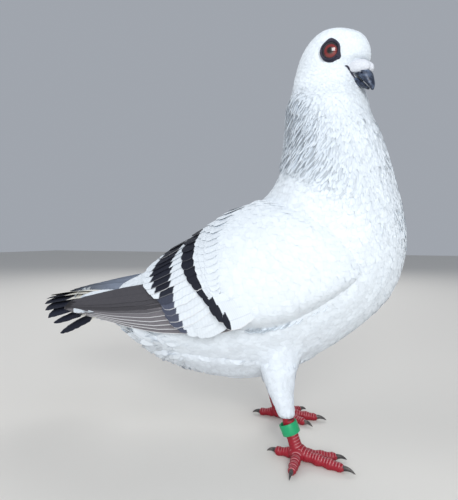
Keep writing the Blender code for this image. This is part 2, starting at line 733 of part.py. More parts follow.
def face(head, skins):
    """Beak, cere, eyes and eyelids, with the sockets and nostrils cut for them."""
    made = []
    upper = mandible("beak_upper", BEAK_UPPER, skins["beak"])
    cut_clear(upper, [head])
    for aside in (-1.0, 1.0):
        nostril = placed_ball("nostril", NOSTRIL, aside, 0.0, BEAK_SLOPE, skins["beak"], 8, 6)
        boolean(upper, "DIFFERENCE", "MANIFOLD", other=nostril)
        drop(nostril)
    keep_largest(upper)
    lower = mandible("beak_lower", BEAK_LOWER, skins["beak"])
    cut_clear(lower, [head, upper])
    lobes = [
        placed_ball("lobe", CERE_LOBE, aside, CERE_TURN, CERE_SLOPE, skins["cere"], 14, 10)
        for aside in (-1.0, 1.0)
    ]
    cere = lobes.pop(0)
    cere.name = "cere"
    fuse(cere, lobes)
    cut_clear(cere, [head, upper])
    made += [upper, lower, cere]
    for side in ("left", "right"):
        eyeball = eye(side, skins["eye"])
        lids = eyelids(side, eyeball, skins["lid"])
        cut_clear(head, [eyeball, lids])
        made += [eyeball, lids]
    return made


def heading(degrees, side):
    """The way over the floor that lies so many degrees outward of straight ahead."""
    turn = math.radians(degrees)
    outward = 1.0 if side == "left" else -1.0
    return np.array([math.cos(turn), outward * math.sin(turn), 0.0])


def foot(side, finish, horn):
    """A foot: shank, ball and four toes with flats on the floor, and a claw for each toe."""
    outward = 1.0 if side == "left" else -1.0
    ground = np.array([FOOT_X[side], outward * FOOT_Y, 0.0])
    centre = ground + np.array([0.0, 0.0, BALL_HEIGHT])
    top = ground + np.array(SHANK_TOP)
    base = FOOT_HEADING[side] if side == "right" else -FOOT_HEADING[side]
    shank = tube(
        "foot_" + side,
        [top, top + (centre - top) * 0.55, centre - np.array([0.0008, 0.0, -0.0010]), centre],
        [(SHANK_RADIUS, SHANK_RADIUS), (SHANK_RADIUS, SHANK_RADIUS * 1.05), (0.0039, 0.0037), (0.0030, 0.0030)],
        finish, 10, upright=(1.0, 0.0, 0.0),
    )
    pieces = [ball("ball", centre - np.array([0.0, 0.0, 0.0012]), (0.0050, 0.0046, 0.0044), finish, 10, 6)]
    claws = []
    for toe, (spread, length, thick, thin, claw) in TOES.items():
        if toe == "outer":
            spread += OUTER_SPREAD[side]
        way = heading(base + spread, side)
        centres, radii = [], []
        swell = (0.96, 1.0, 0.86, 1.04, 0.84, 1.02, 0.86, 0.98, 0.60)
        for index, factor in enumerate(swell):
            share = index / (len(swell) - 1)
            even = thick + (thin - thick) * share
            radius = even * factor
            height = 0.80 * even + 0.0012 * (1 - share) ** 2
            centres.append(ground + way * length * share + np.array([0.0, 0.0, height]))
            radii.append((radius * 0.96, radius))
        pieces.append(tube(toe, centres, radii, finish, 8))
        end = centres[-1]
        bend = [end + way * (GAP + claw * share) + np.array([0.0, 0.0, rise])
                for share, rise in ((0.0, 0.0), (0.35, 0.0002), (0.7, -0.0002), (1.0, -0.0010))]
        sizes = [(0.0011, 0.0014), (0.0010, 0.0012), (0.0006, 0.0008), (0.0002, 0.0002)]
        claws.append(tube("claw_" + side + "_" + toe, bend, sizes, horn, 6))
    fuse(shank, pieces)
    surface = bmesh.new()
    surface.from_mesh(shank.data)
    cut = bmesh.ops.bisect_plane(
        surface, geom=surface.verts[:] + surface.edges[:] + surface.faces[:],
        plane_co=(0, 0, 0), plane_no=(0, 0, -1), clear_outer=True,
    )
    rim = [edge for edge in cut["geom_cut"] if isinstance(edge, bmesh.types.BMEdge)]
    bmesh.ops.holes_fill(surface, edges=rim)
    surface.to_mesh(shank.data)
    surface.free()
    keep_largest(shank)
    return shank, claws


def leg_band(shank_side, finish):
    """A plain ring round the right shank, under the feathers."""
    outward = 1.0 if shank_side == "left" else -1.0
    ground = np.array([FOOT_X[shank_side], outward * FOOT_Y, 0.0])
    top = ground + np.array(SHANK_TOP)
    down = ground + np.array([0.0, 0.0, BALL_HEIGHT]) - top
    down = down / np.linalg.norm(down)
    centre = top + down * (0.0010 + BAND_HEIGHT / 2)
    across = np.array([0.0, 1.0, 0.0])
    ahead = np.cross(across, down)
    points, steps = [], 28
    for step in range(steps):
        turn = 2 * math.pi * step / steps
        way = ahead * math.cos(turn) + across * math.sin(turn)
        for radius, lift in ((BAND_INNER, -0.5), (BAND_OUTER, -0.5), (BAND_OUTER, 0.5), (BAND_INNER, 0.5)):
            points.append(centre + way * radius + down * BAND_HEIGHT * lift)
    faces = []
    for step in range(steps):
        one, two = 4 * step, 4 * ((step + 1) % steps)
        for index in range(4):
            beside = (index + 1) % 4
            faces.append((one + index, one + beside, two + beside, two + index))
    return solid("leg_band", points, faces, finish)


def thigh(side, torso, finish):
    outward = 1.0 if side == "left" else -1.0
    base = np.array([FOOT_X[side] + SHANK_TOP[0], outward * FOOT_Y, 0.0])
    rings = []
    for ahead, inward, height, wide, deep in THIGH:
        middle = base + np.array([ahead, -outward * inward, height + GAP])
        rings.append([
            middle + np.array([
                wide * math.cos(2 * math.pi * step / 16), deep * math.sin(2 * math.pi * step / 16), 0.0,
            ])
            for step in range(16)
        ])
    made = loft("thigh_" + side, rings, finish)
    cut_clear(made, [torso])
    return made


def build():
    clear_scene()
    white = material("plumage_white", (0.80, 0.84, 0.88), 0.75)
    neck_grey = material("plumage_neck", (0.62, 0.68, 0.75), 0.7)
    wing_grey = material("plumage_wing", (0.55, 0.58, 0.63), 0.7)
    tail_dark = material("plumage_tail", (0.20, 0.20, 0.24), 0.7)
    skins = {
        "beak": material("horn_blue_black", (0.06, 0.07, 0.10), 0.45),
        "cere": material("cere_white", (0.80, 0.82, 0.86), 0.7),
        "eye": material("eye_red", (0.30, 0.03, 0.02), 0.08),
        "lid": material("bare_skin_plum", (0.10, 0.06, 0.08), 0.6),
    }
    scale_red = material("scale_crimson", (0.55, 0.03, 0.05), 0.5)
    band_green = material("band_green", (0.01, 0.35, 0.14), 0.35)

    torso = trunk_part("torso", 0.0, NECK_STATION, white, lifted=False)
    neck = trunk_part("neck", NECK_STATION, HEAD_STATION, neck_grey, lifted=True)
    crown = head_place(0.0033, 0.0, 0.2403)
    head = trunk_part("head", HEAD_STATION, len(STATIONS) - 1, white, lifted=True, tip=crown)
    made = [torso, neck, head]
    made += face(head, skins)
    rump = tail(tail_dark)
    cut_clear(rump, [torso])
    made.append(rump)
    for side in ("left", "right"):
        made.append(wing(side, torso, wing_grey))
        made.append(thigh(side, torso, white))
        shank, claws = foot(side, scale_red, skins["beak"])
        made += [shank, *claws]
    made.append(leg_band("right", band_green))

    bpy.context.view_layer.update()
    corners = np.array([tuple(point.co) for shape in made for point in shape.data.vertices])
    low, high = corners.min(axis=0), corners.max(axis=0)
    stance = bpy.data.objects.new("pigeon", None)
    bpy.context.scene.collection.objects.link(stance)
    stance.location = (-(low[0] + high[0]) / 2, -(low[1] + high[1]) / 2, -low[2])
    for shape in made:
        shape.parent = stance


build()
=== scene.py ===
import math

import bmesh
import bpy
import numpy as np
from mathutils import Matrix, Vector, noise
from mathutils.bvhtree import BVHTree


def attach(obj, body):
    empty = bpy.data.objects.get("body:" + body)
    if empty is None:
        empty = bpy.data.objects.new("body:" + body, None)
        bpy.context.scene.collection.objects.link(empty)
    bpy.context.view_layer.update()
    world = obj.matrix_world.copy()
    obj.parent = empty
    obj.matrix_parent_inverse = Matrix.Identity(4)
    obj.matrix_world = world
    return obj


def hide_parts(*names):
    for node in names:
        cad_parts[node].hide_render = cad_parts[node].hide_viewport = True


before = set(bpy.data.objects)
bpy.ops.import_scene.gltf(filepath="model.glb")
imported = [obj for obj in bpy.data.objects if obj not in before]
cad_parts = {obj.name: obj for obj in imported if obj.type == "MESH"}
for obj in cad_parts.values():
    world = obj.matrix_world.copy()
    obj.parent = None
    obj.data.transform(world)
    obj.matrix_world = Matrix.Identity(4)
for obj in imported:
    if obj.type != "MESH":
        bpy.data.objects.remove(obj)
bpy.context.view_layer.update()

# Places on the bird are told in metres from the point between its feet: ahead, to its left, up
stanceX = 0.05838  # from the middle of the model's box to that point
turnX = 0.0255  # the upright line that the neck and head turn about
headTurn = 28.0  # degrees, to the bird's right
stance = np.array([stanceX, 0.0, 0.0])
upright = np.array([0.0, 0.0, 1.0])

# Sections of the trunk from tail to crown: back (x, z), front (x, z), half width, turn
trunkRows = np.array([
    (-0.1160, 0.0900, -0.1130, 0.0620, 0.0190, 0.0), (-0.1000, 0.0975, -0.0970, 0.0500, 0.0260, 0.0),
    (-0.0795, 0.1080, -0.0770, 0.0420, 0.0325, 0.0), (-0.0595, 0.1185, -0.0550, 0.0355, 0.0370, 0.0),
    (-0.0415, 0.1285, -0.0300, 0.0325, 0.0405, 0.0), (-0.0265, 0.1370, -0.0050, 0.0385, 0.0425, 0.0),
    (-0.0155, 0.1437, 0.0180, 0.0500, 0.0435, 0.0), (-0.0092, 0.1492, 0.0418, 0.0680, 0.0445, 0.0),
    (-0.0055, 0.1550, 0.0588, 0.0860, 0.0450, 0.0), (-0.0035, 0.1610, 0.0668, 0.1060, 0.0440, 0.0),
    (-0.0020, 0.1680, 0.0677, 0.1260, 0.0410, 0.0), (-0.0010, 0.1750, 0.0640, 0.1460, 0.0360, 3.0),
    (-0.0005, 0.1830, 0.0592, 0.1650, 0.0310, 8.0), (-0.0005, 0.1920, 0.0540, 0.1810, 0.0265, 15.0),
    (0.0000, 0.2010, 0.0490, 0.1910, 0.0228, 22.0), (0.0010, 0.2070, 0.0442, 0.1990, 0.0198, headTurn),
    (0.0018, 0.2125, 0.0420, 0.2055, 0.0180, headTurn), (0.0030, 0.2175, 0.0440, 0.2120, 0.0172, headTurn),
    (0.0045, 0.2225, 0.0485, 0.2175, 0.0169, headTurn), (0.0065, 0.2270, 0.0493, 0.2230, 0.0164, headTurn),
    (0.0095, 0.2312, 0.0480, 0.2285, 0.0152, headTurn), (0.0137, 0.2350, 0.0443, 0.2338, 0.0130, headTurn),
    (0.0190, 0.2380, 0.0385, 0.2376, 0.0095, headTurn), (0.0250, 0.2398, 0.0325, 0.2398, 0.0045, headTurn),
])

# Sections of a folded wing's outer face, from its tip forward
wingRows = np.array([
    (-0.1950, 0.0820, -0.1880, 0.0560, 0.0180), (-0.1700, 0.0880, -0.1620, 0.0530, 0.0220),
    (-0.1430, 0.0945, -0.1340, 0.0490, 0.0260), (-0.1180, 0.1010, -0.1100, 0.0440, 0.0300),
    (-0.1000, 0.1065, -0.0920, 0.0400, 0.0350), (-0.0810, 0.1140, -0.0720, 0.0360, 0.0405),
    (-0.0610, 0.1240, -0.0520, 0.0330, 0.0450), (-0.0430, 0.1335, -0.0280, 0.0310, 0.0485),
    (-0.0275, 0.1415, -0.0030, 0.0380, 0.0515), (-0.0160, 0.1475, 0.0200, 0.0510, 0.0520),
    (-0.0095, 0.1525, 0.0438, 0.0690, 0.0520), (-0.0055, 0.1575, 0.0608, 0.0870, 0.0510),
    (-0.0035, 0.1630, 0.0688, 0.1070, 0.0490), (-0.0020, 0.1700, 0.0692, 0.1270, 0.0460),
])


def smoothRow(rows, place):
    # the smooth curve through rows, at places counted in rows
    rows = np.asarray(rows, float)
    place = np.clip(np.asarray(place, float), 0, len(rows) - 1)
    start = np.minimum(place.astype(int), len(rows) - 2)
    part = (place - start)[..., None]
    padded = np.vstack([2 * rows[:1] - rows[1:2], rows, 2 * rows[-1:] - rows[-2:-1]])
    before, one, two, after = (padded[start + step] for step in range(4))
    return 0.5 * (
        2 * one + (two - before) * part
        + (2 * before - 5 * one + 4 * two - after) * part**2
        + (3 * one - before - 3 * two + after) * part**3
    )


def along(rows, share):
    return smoothRow(rows, np.asarray(share, float) * (len(rows) - 1))


def blend(one, two, share):
    return one * (1 - share) + two * share


def smoothstep(low, high, value):
    share = np.clip((value - low) / (high - low), 0, 1)
    return share * share * (3 - 2 * share)


def unit(ways):
    return ways / np.maximum(np.linalg.norm(ways, axis=-1, keepdims=True), 1e-12)


def turned(points, degrees):
    # turns points, still told from between the feet, to the bird's right about the neck's line
    points = np.asarray(points, float)
    turn = np.radians(degrees)
    ahead = points[..., 0] - turnX
    return np.stack([
        turnX + ahead * np.cos(turn) + points[..., 1] * np.sin(turn),
        -ahead * np.sin(turn) + points[..., 1] * np.cos(turn),
        points[..., 2],
    ], axis=-1)


def inFrame(points):
    return np.asarray(points, float) + stance


def headPlace(ahead, aside, height):
    return inFrame(turned(np.array([turnX + ahead, aside, height]), headTurn))


def headWay(ahead, aside, height):
    return headPlace(ahead, aside, height) - headPlace(0.0, 0.0, 0.0)


def linked(name, mesh, finish):
    made = bpy.data.objects.new(name, mesh)
    bpy.context.scene.collection.objects.link(made)
    if finish is not None:
        mesh.materials.append(finish)
    return made


def fromBmesh(name, shape, finish):
    mesh = bpy.data.meshes.new(name)
    bmesh.ops.recalc_face_normals(shape, faces=shape.faces)
    shape.to_mesh(mesh)
    shape.free()
    mesh.shade_smooth()
    return linked(name, mesh, finish)


def applied(piece):
    # the piece's modifiers become its mesh
    graph = bpy.context.evaluated_depsgraph_get()
    graph.update()
    mesh = bpy.data.meshes.new_from_object(piece.evaluated_get(graph))
    piece.modifiers.clear()
    piece.data = mesh


def melted(piece, look):
    # joins the shapes in a piece into one even, smoothed surface, which stays open for edits
    remesh = piece.modifiers.new("remesh", "REMESH")
    remesh.mode = "VOXEL"
    remesh.voxel_size = look["voxel"]
    applied(piece)
    shape = bmesh.new()
    shape.from_mesh(piece.data)
    axes = {"use_axis_x": True, "use_axis_y": True, "use_axis_z": True}
    for _ in range(look["smoothing"]):
        bmesh.ops.smooth_vert(shape, verts=shape.verts, factor=0.5, **axes)
    shape.normal_update()
    return shape


def closed(piece, shape, finish):
    shape.to_mesh(piece.data)
    shape.free()
    piece.data.shade_smooth()
    piece.data.materials.clear()
    piece.data.materials.append(finish)


def paint(mesh, tints, name="Tint"):
    # a colour of its own for each point of a mesh
    tints = np.reshape(tints, (-1, 3))
    colours = np.concatenate([tints, np.ones((len(tints), 1))], axis=1)
    layer = mesh.attributes.new(name, "FLOAT_COLOR", "POINT")
    layer.data.foreach_set("color", colours.astype(np.float32).ravel())


def ball(shape, matrix, radii=(1.0, 1.0, 1.0), across=32, rows=20):
    matrix = matrix @ Matrix.Diagonal((*radii, 1.0))
    bmesh.ops.create_uvsphere(shape, u_segments=across, v_segments=rows, radius=1.0, matrix=matrix)


def treeOf(piece):
    mesh = piece.data
    points = [point.co.copy() for point in mesh.vertices]
    return BVHTree.FromPolygons(points, [tuple(face.vertices) for face in mesh.polygons])


def sweep(shape, rings, close=True):
    # extrudes one ring of points along the others, and caps both ends
    first = [shape.verts.new(point) for point in rings[0]]
    start = shape.faces.new(first)
    edges = list(start.edges)
    last = first
    for ring in rings[1:]:
        step = bmesh.ops.extrude_edge_only(shape, edges=edges)
        fresh = {
            point for edge in step["geom"] if isinstance(edge, bmesh.types.BMEdge) for point in edge.verts
        }
        order = []
        for old in last:
            ends = (edge.other_vert(old) for edge in old.link_edges)
            order.append(next(point for point in ends if point in fresh))
        for point, place in zip(order, ring):
            point.co = place
        edges = [shape.edges.get((order[i], order[(i + 1) % len(order)])) for i in range(len(order))]
        last = order
    if close:
        shape.faces.new(last)
    return last


def tube(shape, centres, radii, sides, top=upright):
    # a closed tube through centres, its radii told as a row of width and height for each
    centres = np.asarray(centres, float)
    ahead = unit(np.gradient(centres, axis=0))
    side = unit(np.cross(ahead, top))
    up = np.cross(side, ahead)
    turns = 2 * math.pi * np.arange(sides) / sides
    rings = []
    for index, (wide, high) in enumerate(radii):
        ring = centres[index] + side[index] * (wide * np.cos(turns))[:, None]
        ring = ring + up[index] * (high * np.sin(turns))[:, None]
        rings.append([Vector(point) for point in ring])
    sweep(shape, rings)


# Materials

def nodesOf(name, settings):
    made = bpy.data.materials.new(name)
    made.use_nodes = True
    tree = made.node_tree
    shader = tree.nodes["Principled BSDF"]
    for socket, value in settings.items():
        shader.inputs[socket].default_value = value
    return made, tree, shader


def addNode(tree, kind, **values):
    node = tree.nodes.new(kind)
    for key, value in values.items():
        setattr(node, key, value)
    return node


def placeOf(tree):
    return addNode(tree, "ShaderNodeTexCoord").outputs["Object"]


def valueOf(tree, name, output="Color"):
    return addNode(tree, "ShaderNodeAttribute", attribute_name=name).outputs[output]


def vaneOf(tree):
    # where a point lies on its feather's web: across it and along it
    split = addNode(tree, "ShaderNodeSeparateXYZ")
    tree.links.new(addNode(tree, "ShaderNodeUVMap", uv_map="Vane").outputs["UV"], split.inputs[0])
    return split.outputs[0], split.outputs[1]


def plugged(tree, sockets, values):
    for socket, value in zip(sockets, values):
        if isinstance(value, (int, float)):
            socket.default_value = value
        elif isinstance(value, tuple):
            socket.default_value = (*value, 1.0)
        elif value is not None:
            tree.links.new(value, socket)


def calc(tree, operation, one, two=None, clamp=False):
    node = addNode(tree, "ShaderNodeMath", operation=operation, use_clamp=clamp)
    plugged(tree, node.inputs, (one, two))
    return node.outputs[0]


def eased(tree, one, two, slope):
    # rises from 0 to 1 where one gets past two
    return calc(tree, "MULTIPLY", calc(tree, "SUBTRACT", one, two), slope, clamp=True)


def scaled(tree, one, by):
    return calc(tree, "MULTIPLY", one, by)


def mixColour(tree, factor, one, two, mode="MIX"):
    node = addNode(tree, "ShaderNodeMix", data_type="RGBA", blend_type=mode)
    plugged(tree, (node.inputs[0], node.inputs[6], node.inputs[7]), (factor, one, two))
    return node.outputs[2]


def noiseOf(tree, coordinates, scale, detail=3.0):
    node = addNode(tree, "ShaderNodeTexNoise")
    plugged(tree, [node.inputs[name] for name in ("Scale", "Detail", "Roughness")], (scale, detail, 0.55))
    tree.links.new(coordinates, node.inputs["Vector"])
    return node.outputs["Fac"]


def dressed(tree, shader, colour, height=None, strength=0.0, distance=0.0):
    # the shader's colour and its relief
    tree.links.new(colour, shader.inputs["Base Color"])
    if height is not None:
        node = addNode(tree, "ShaderNodeBump")
        sockets = [node.inputs[name] for name in ("Strength", "Distance", "Height")]
        plugged(tree, sockets, (strength, distance, height))
        tree.links.new(node.outputs["Normal"], shader.inputs["Normal"])


def featherFinish(name, barbs, depth):
    # feather webs: the tint of each feather, fine barbs off its shaft, and a soft uneven tone
    made, tree, shader = nodesOf(name, {
        "Roughness": 0.75, "Specular IOR Level": 0.2, "Sheen Weight": 0.15, "Sheen Roughness": 0.5,
    })
    place = placeOf(tree)
    width, length = vaneOf(tree)
    across = calc(tree, "ABSOLUTE", calc(tree, "SUBTRACT", width, 0.5))
    slant = calc(tree, "SUBTRACT", length, scaled(tree, across, 0.5))
    ripple = calc(tree, "SINE", scaled(tree, slant, barbs * 2 * math.pi))
    tone = scaled(tree, noiseOf(tree, place, 190.0), 0.30)
    grain = noiseOf(tree, place, 1700.0, detail=2.0)
    colour = mixColour(tree, tone, valueOf(tree, "Tint"), (0.82, 0.85, 0.90), "MULTIPLY")
    dressed(tree, shader, colour, calc(tree, "ADD", scaled(tree, ripple, 0.35), grain), 0.25, depth)
    return made


# The lie of the feathers

lieLines = smoothRow(trunkRows, np.linspace(0, len(trunkRows) - 1, 185))


def stationOf(points):
    # how far up the trunk each place is, counted in its sections, and the way tailwards there
    local = np.asarray(points, float) - stance
    turn = np.zeros(len(local))
    for _ in range(3):
        flat = turned(local, -turn)
        ahead = (
            (flat[:, None, 0] - lieLines[None, :, 0]) * (lieLines[:, 1] - lieLines[:, 3])[None]
            + (flat[:, None, 2] - lieLines[None, :, 1]) * (lieLines[:, 2] - lieLines[:, 0])[None]
        )
        passed = np.cumprod(ahead > 0, axis=1).sum(axis=1)
        low = np.clip(passed - 1, 0, len(lieLines) - 2)
        rows = np.arange(len(local))
        one, two = ahead[rows, low], ahead[rows, low + 1]
        part = np.clip(one / np.where(np.abs(one - two) < 1e-12, 1, one - two), 0, 1)
        station = low + part
        lines = blend(lieLines[low], lieLines[low + 1], part[:, None])
        turn = lines[:, 5]
    flat = np.zeros(len(local))
    down = unit(np.stack([lines[:, 3] - lines[:, 1], flat, -(lines[:, 2] - lines[:, 0])], axis=1))
    bend = np.radians(turn)
    ways = np.stack([down[:, 0] * np.cos(bend), -down[:, 0] * np.sin(bend), down[:, 2]], axis=1)
    middle = np.stack([(lines[:, 0] + lines[:, 2]) / 2, flat, (lines[:, 1] + lines[:, 3]) / 2], axis=1)
    up = unit(np.stack([lines[:, 0] - lines[:, 2], flat, lines[:, 1] - lines[:, 3]], axis=1))
    out = turned(local, -turn) - middle
    angle = np.arctan2(-out[:, 1], (out * up).sum(axis=1))
    return station * (len(trunkRows) - 1) / (len(lieLines) - 1), ways, angle


beakRoot = headPlace(0.0213, 0.0, 0.2115)


def trunkLie(points, normals):
    station, ways, angle = stationOf(points)
    away = points - beakRoot
    reach = np.linalg.norm(away, axis=1, keepdims=True)
    headWays = unit(unit(away) - 0.5 * upright * smoothstep(0.012, 0.040, reach))
    ways = blend(ways, headWays, smoothstep(14.0, 16.5, station)[:, None])
    ways = blend(ways, np.array([-0.10, 0.0, -1.0]), smoothstep(0.058, 0.042, points[:, 2])[:, None])
    ways = unit(ways - normals * (ways * normals).sum(axis=1, keepdims=True))
    return station, ways, angle


# Scattered feathers

def scatter(piece, keep, spacing, draw, crowding=9):
    # even random places on a mesh, no two nearer than the spacing told for that place
    mesh = piece.data
    mesh.calc_loop_triangles()
    points = np.empty(len(mesh.vertices) * 3)
    mesh.vertices.foreach_get("co", points)
    corners = np.empty(len(mesh.loop_triangles) * 3, int)
    mesh.loop_triangles.foreach_get("vertices", corners)
    one, two, three = points.reshape(-1, 3)[corners.reshape(-1, 3)].transpose(1, 0, 2)
    normal = np.cross(two - one, three - one)
    area = np.linalg.norm(normal, axis=1) / 2
    normal = unit(normal)
    centres = (one + two + three) / 3
    weight = area * keep(centres, normal) / spacing(centres)**2
    count = int(weight.sum() * crowding)
    picked = draw.choice(len(area), size=count, p=weight / weight.sum())
    a, b = draw.random(count), draw.random(count)
    over = a + b > 1
    a[over], b[over] = 1 - a[over], 1 - b[over]
    places = one[picked] + (two - one)[picked] * a[:, None] + (three - one)[picked] * b[:, None]
    rooms = spacing(places)
    cell = float(rooms.max())
    cells = np.floor(places / cell).astype(int)
    grid = {}
    chosen = []
    around = [(i, j, k) for i in (-1, 0, 1) for j in (-1, 0, 1) for k in (-1, 0, 1)]
    for index, ((x, y, z), (px, py, pz)) in enumerate(zip(cells.tolist(), places.tolist())):
        near = rooms[index] ** 2
        others = (other for i, j, k in around for other in grid.get((x + i, y + j, z + k), ()))
        if all((px - qx) ** 2 + (py - qy) ** 2 + (pz - qz) ** 2 >= near for qx, qy, qz in others):
            grid.setdefault((x, y, z), []).append((px, py, pz))
            chosen.append(index)
    return places[chosen], normal[picked][chosen]


def layOut(tree, roots, normals, ways, lengths, shares, heights):
    # paths that run over a surface from each root, with the surface's normals along them
    paths = np.empty((len(roots), len(shares), 3))
    outs = np.empty_like(paths)
    for index in range(len(roots)):
        place, normal = Vector(roots[index]), Vector(normals[index])
        way = Vector(ways[index])
        before = 0.0
        for row, share in enumerate(shares):
            if row:
                found = tree.find_nearest(place + way * (float(lengths[index]) * (share - before)))
                place, normal = found[0], found[1] if found[1].dot(normal) > 0 else -found[1]
                way = way - normal * way.dot(normal)
                way.normalize()
            before = share
            paths[index, row] = place
            outs[index, row] = normal
    outs[:, 1:-1] = unit(outs[:, :-2] + outs[:, 1:-1] + outs[:, 2:])
    return paths + outs * heights[..., None], outs


def ringMesh(name, rings, web, baked, tints, sharp, finish):
    # closed feathers in one mesh, each a row of rings of as many points
    count, rows, size = rings.shape[:3]
    turn = np.cross(rings[:, 2], np.roll(rings[:, 2], -1, axis=1)).sum(axis=1)
    if (turn * (rings[:, 3, 0] - rings[:, 1, 0])).sum() < 0:
        rings, web, baked, tints = (
            np.broadcast_to(values, (*rings.shape[:3], values.shape[-1]))[:, :, ::-1]
            for values in (rings, web, baked, tints)
        )
        sharp = tuple(size - 1 - column for column in sharp)
    mesh = bpy.data.meshes.new(name)
    mesh.vertices.add(count * rows * size)
    mesh.vertices.foreach_set("co", rings.astype(np.float32).ravel())
    corner = np.arange(size)
    beside = (corner + 1) % size
    spans = np.arange(rows - 1)[:, None] * size
    quads = np.stack([spans + corner, spans + beside, spans + size + beside, spans + size + corner], axis=-1)
    quads = quads.reshape(-1, 4)
    caps = np.stack([corner[::-1], corner + (rows - 1) * size])
    first = (np.arange(count) * rows * size)[:, None, None]
    loops = np.concatenate([(quads[None] + first).reshape(-1), (caps[None] + first).reshape(-1)])
    sizes = np.concatenate([np.full(count * len(quads), 4), np.full(count * 2, size)])
    mesh.loops.add(len(loops))
    mesh.loops.foreach_set("vertex_index", loops.astype(np.int32))
    mesh.polygons.add(len(sizes))
    mesh.polygons.foreach_set("loop_start", (np.cumsum(sizes) - sizes).astype(np.int32))
    mesh.update(calc_edges=True)
    for layer, values in (("OFBake", baked), ("Vane", web)):
        made = mesh.uv_layers.new(name=layer)
        made.data.foreach_set("uv", values.reshape(-1, 2)[loops].astype(np.float32).ravel())
    paint(mesh, tints)
    mesh.shade_smooth()
    edges = np.empty(len(mesh.edges) * 2, np.int32)
    mesh.edges.foreach_get("vertices", edges)
    columns = edges.reshape(-1, 2) % size
    places = edges.reshape(-1, 2) // size % rows
    marked = (columns[:, 0] == columns[:, 1]) & np.isin(columns[:, 0], sharp)
    marked |= (places[:, 0] == places[:, 1]) & np.isin(places[:, 0], (0, rows - 1))  # round both ends
    mesh.attributes.new("sharp_edge", "BOOLEAN", "EDGE").data.foreach_set("value", marked)
    return linked(name, mesh, finish)


bodyShares = (0.0, 0.36, 0.72, 0.92, 1.0)
bodyWidths = (0.40, 0.95, 0.95, 0.62, 0.16)
strandWidths = (0.50, 1.0, 0.78, 0.40, 0.06)
mapPatch = 0.003  # share of the map that a small feather's web takes


def bodyCoat(name, piece, keep, look, tintOf, finish, lie=trunkLie, unwrap=None, tree=None):
    draw = np.random.default_rng(look["seed"])
    roots, normals = scatter(piece, keep, look["spacing"], np.random.default_rng(look["seed"]))
    count = len(roots)
    station, ways, angle = lie(roots, normals)
    sides = np.cross(normals, ways)
    stray = np.radians(draw.normal(0, look["stray"], count))[:, None]
    ways = ways * np.cos(stray) + sides * np.sin(stray)
    sizes = look["size"](station, angle, roots)
    lengths = sizes[0] * draw.uniform(0.80, 1.20, count)
    widths = sizes[1] * draw.uniform(0.85, 1.15, count)
    strand = sizes[3][:, None]
    shares = np.array(bodyShares)
    lift = sizes[2][:, None] * shares**0.8 * draw.uniform(0.7, 1.3, count)[:, None]
    heights = lift - look["sink"] * (1 - shares) ** 2
    paths, outs = layOut(tree or treeOf(piece), roots, normals, ways, lengths, bodyShares, heights)
    heads = np.gradient(paths, axis=1)
    across = unit(np.cross(outs, heads))
    bow = draw.normal(0, look["bow"], count)[:, None] * lengths[:, None] * shares**2
    paths = paths + across * bow[..., None]
    half = (widths / 2)[:, None] * blend(np.array(bodyWidths), np.array(strandWidths), strand)
    roll = draw.normal(0, look["roll"], count)[:, None, None]
    across = unit(across + outs * roll)
    sag = outs * (half * look["camber"])[..., None]
    left = paths - across * half[..., None] - sag
    right = paths + across * half[..., None] - sag
    ridge = paths + outs * (look["thick"] * (1 - 0.7 * shares))[None, :, None]
    rings = np.stack([left, ridge, right], axis=2)[:, :, ::-1]
    web = np.zeros((count, len(shares), 3, 2))
    web[..., 0] = np.array([1.0, 0.5, 0.0])
    web[..., 1] = shares[None, :, None]
    spot = (unwrap or trunkUnwrap)(station, angle, roots)
    baked = spot[:, None, None] + (web - 0.5) * np.array([mapPatch * 0.8, mapPatch])
    tints = np.repeat(tintOf(station, angle, roots, draw, shares), 3, axis=2)
    made = ringMesh(name, rings, web, baked, tints, (0, 2), finish)
    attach(made, "root")
    print(f"{name}: {count} feathers, {count * (len(shares) * 6 - 4)} triangles")
    return made


def onMap(across, up):
    # keeps a small rim free round the map
    return np.stack([0.02 + 0.96 * across, 0.02 + 0.96 * up], axis=-1)


def trunkUnwrap(station, angle, roots):
    # round the trunk runs across the map, and up the trunk runs up it
    return onMap(angle / (2 * math.pi) + 0.5, station / (len(trunkRows) - 1))


# Plumage colours

plumage = {
    "white": (0.78, 0.84, 0.89),
    # the grey that the painted shade on the rear underside blends to
    "shade": (0.60, 0.64, 0.72),
    "neck": (0.52, 0.60, 0.69),
    "neckTip": (0.86, 0.91, 0.94),
    "black": (0.012, 0.014, 0.024),
    "slate": (0.075, 0.085, 0.125),
    "brown": (0.185, 0.175, 0.190),
    "paleEdge": (0.72, 0.73, 0.75),
    # white tail feathers with painted warm light, which makes them cream
    "creamPaintedLight": (0.82, 0.80, 0.72),
    "slateBrown": (0.062, 0.060, 0.068),
    # the far wing's primaries, painted light: a much lighter blue-grey than the same feathers on the near wing
    "blueGreyPaintedLight": (0.33, 0.37, 0.45),
}


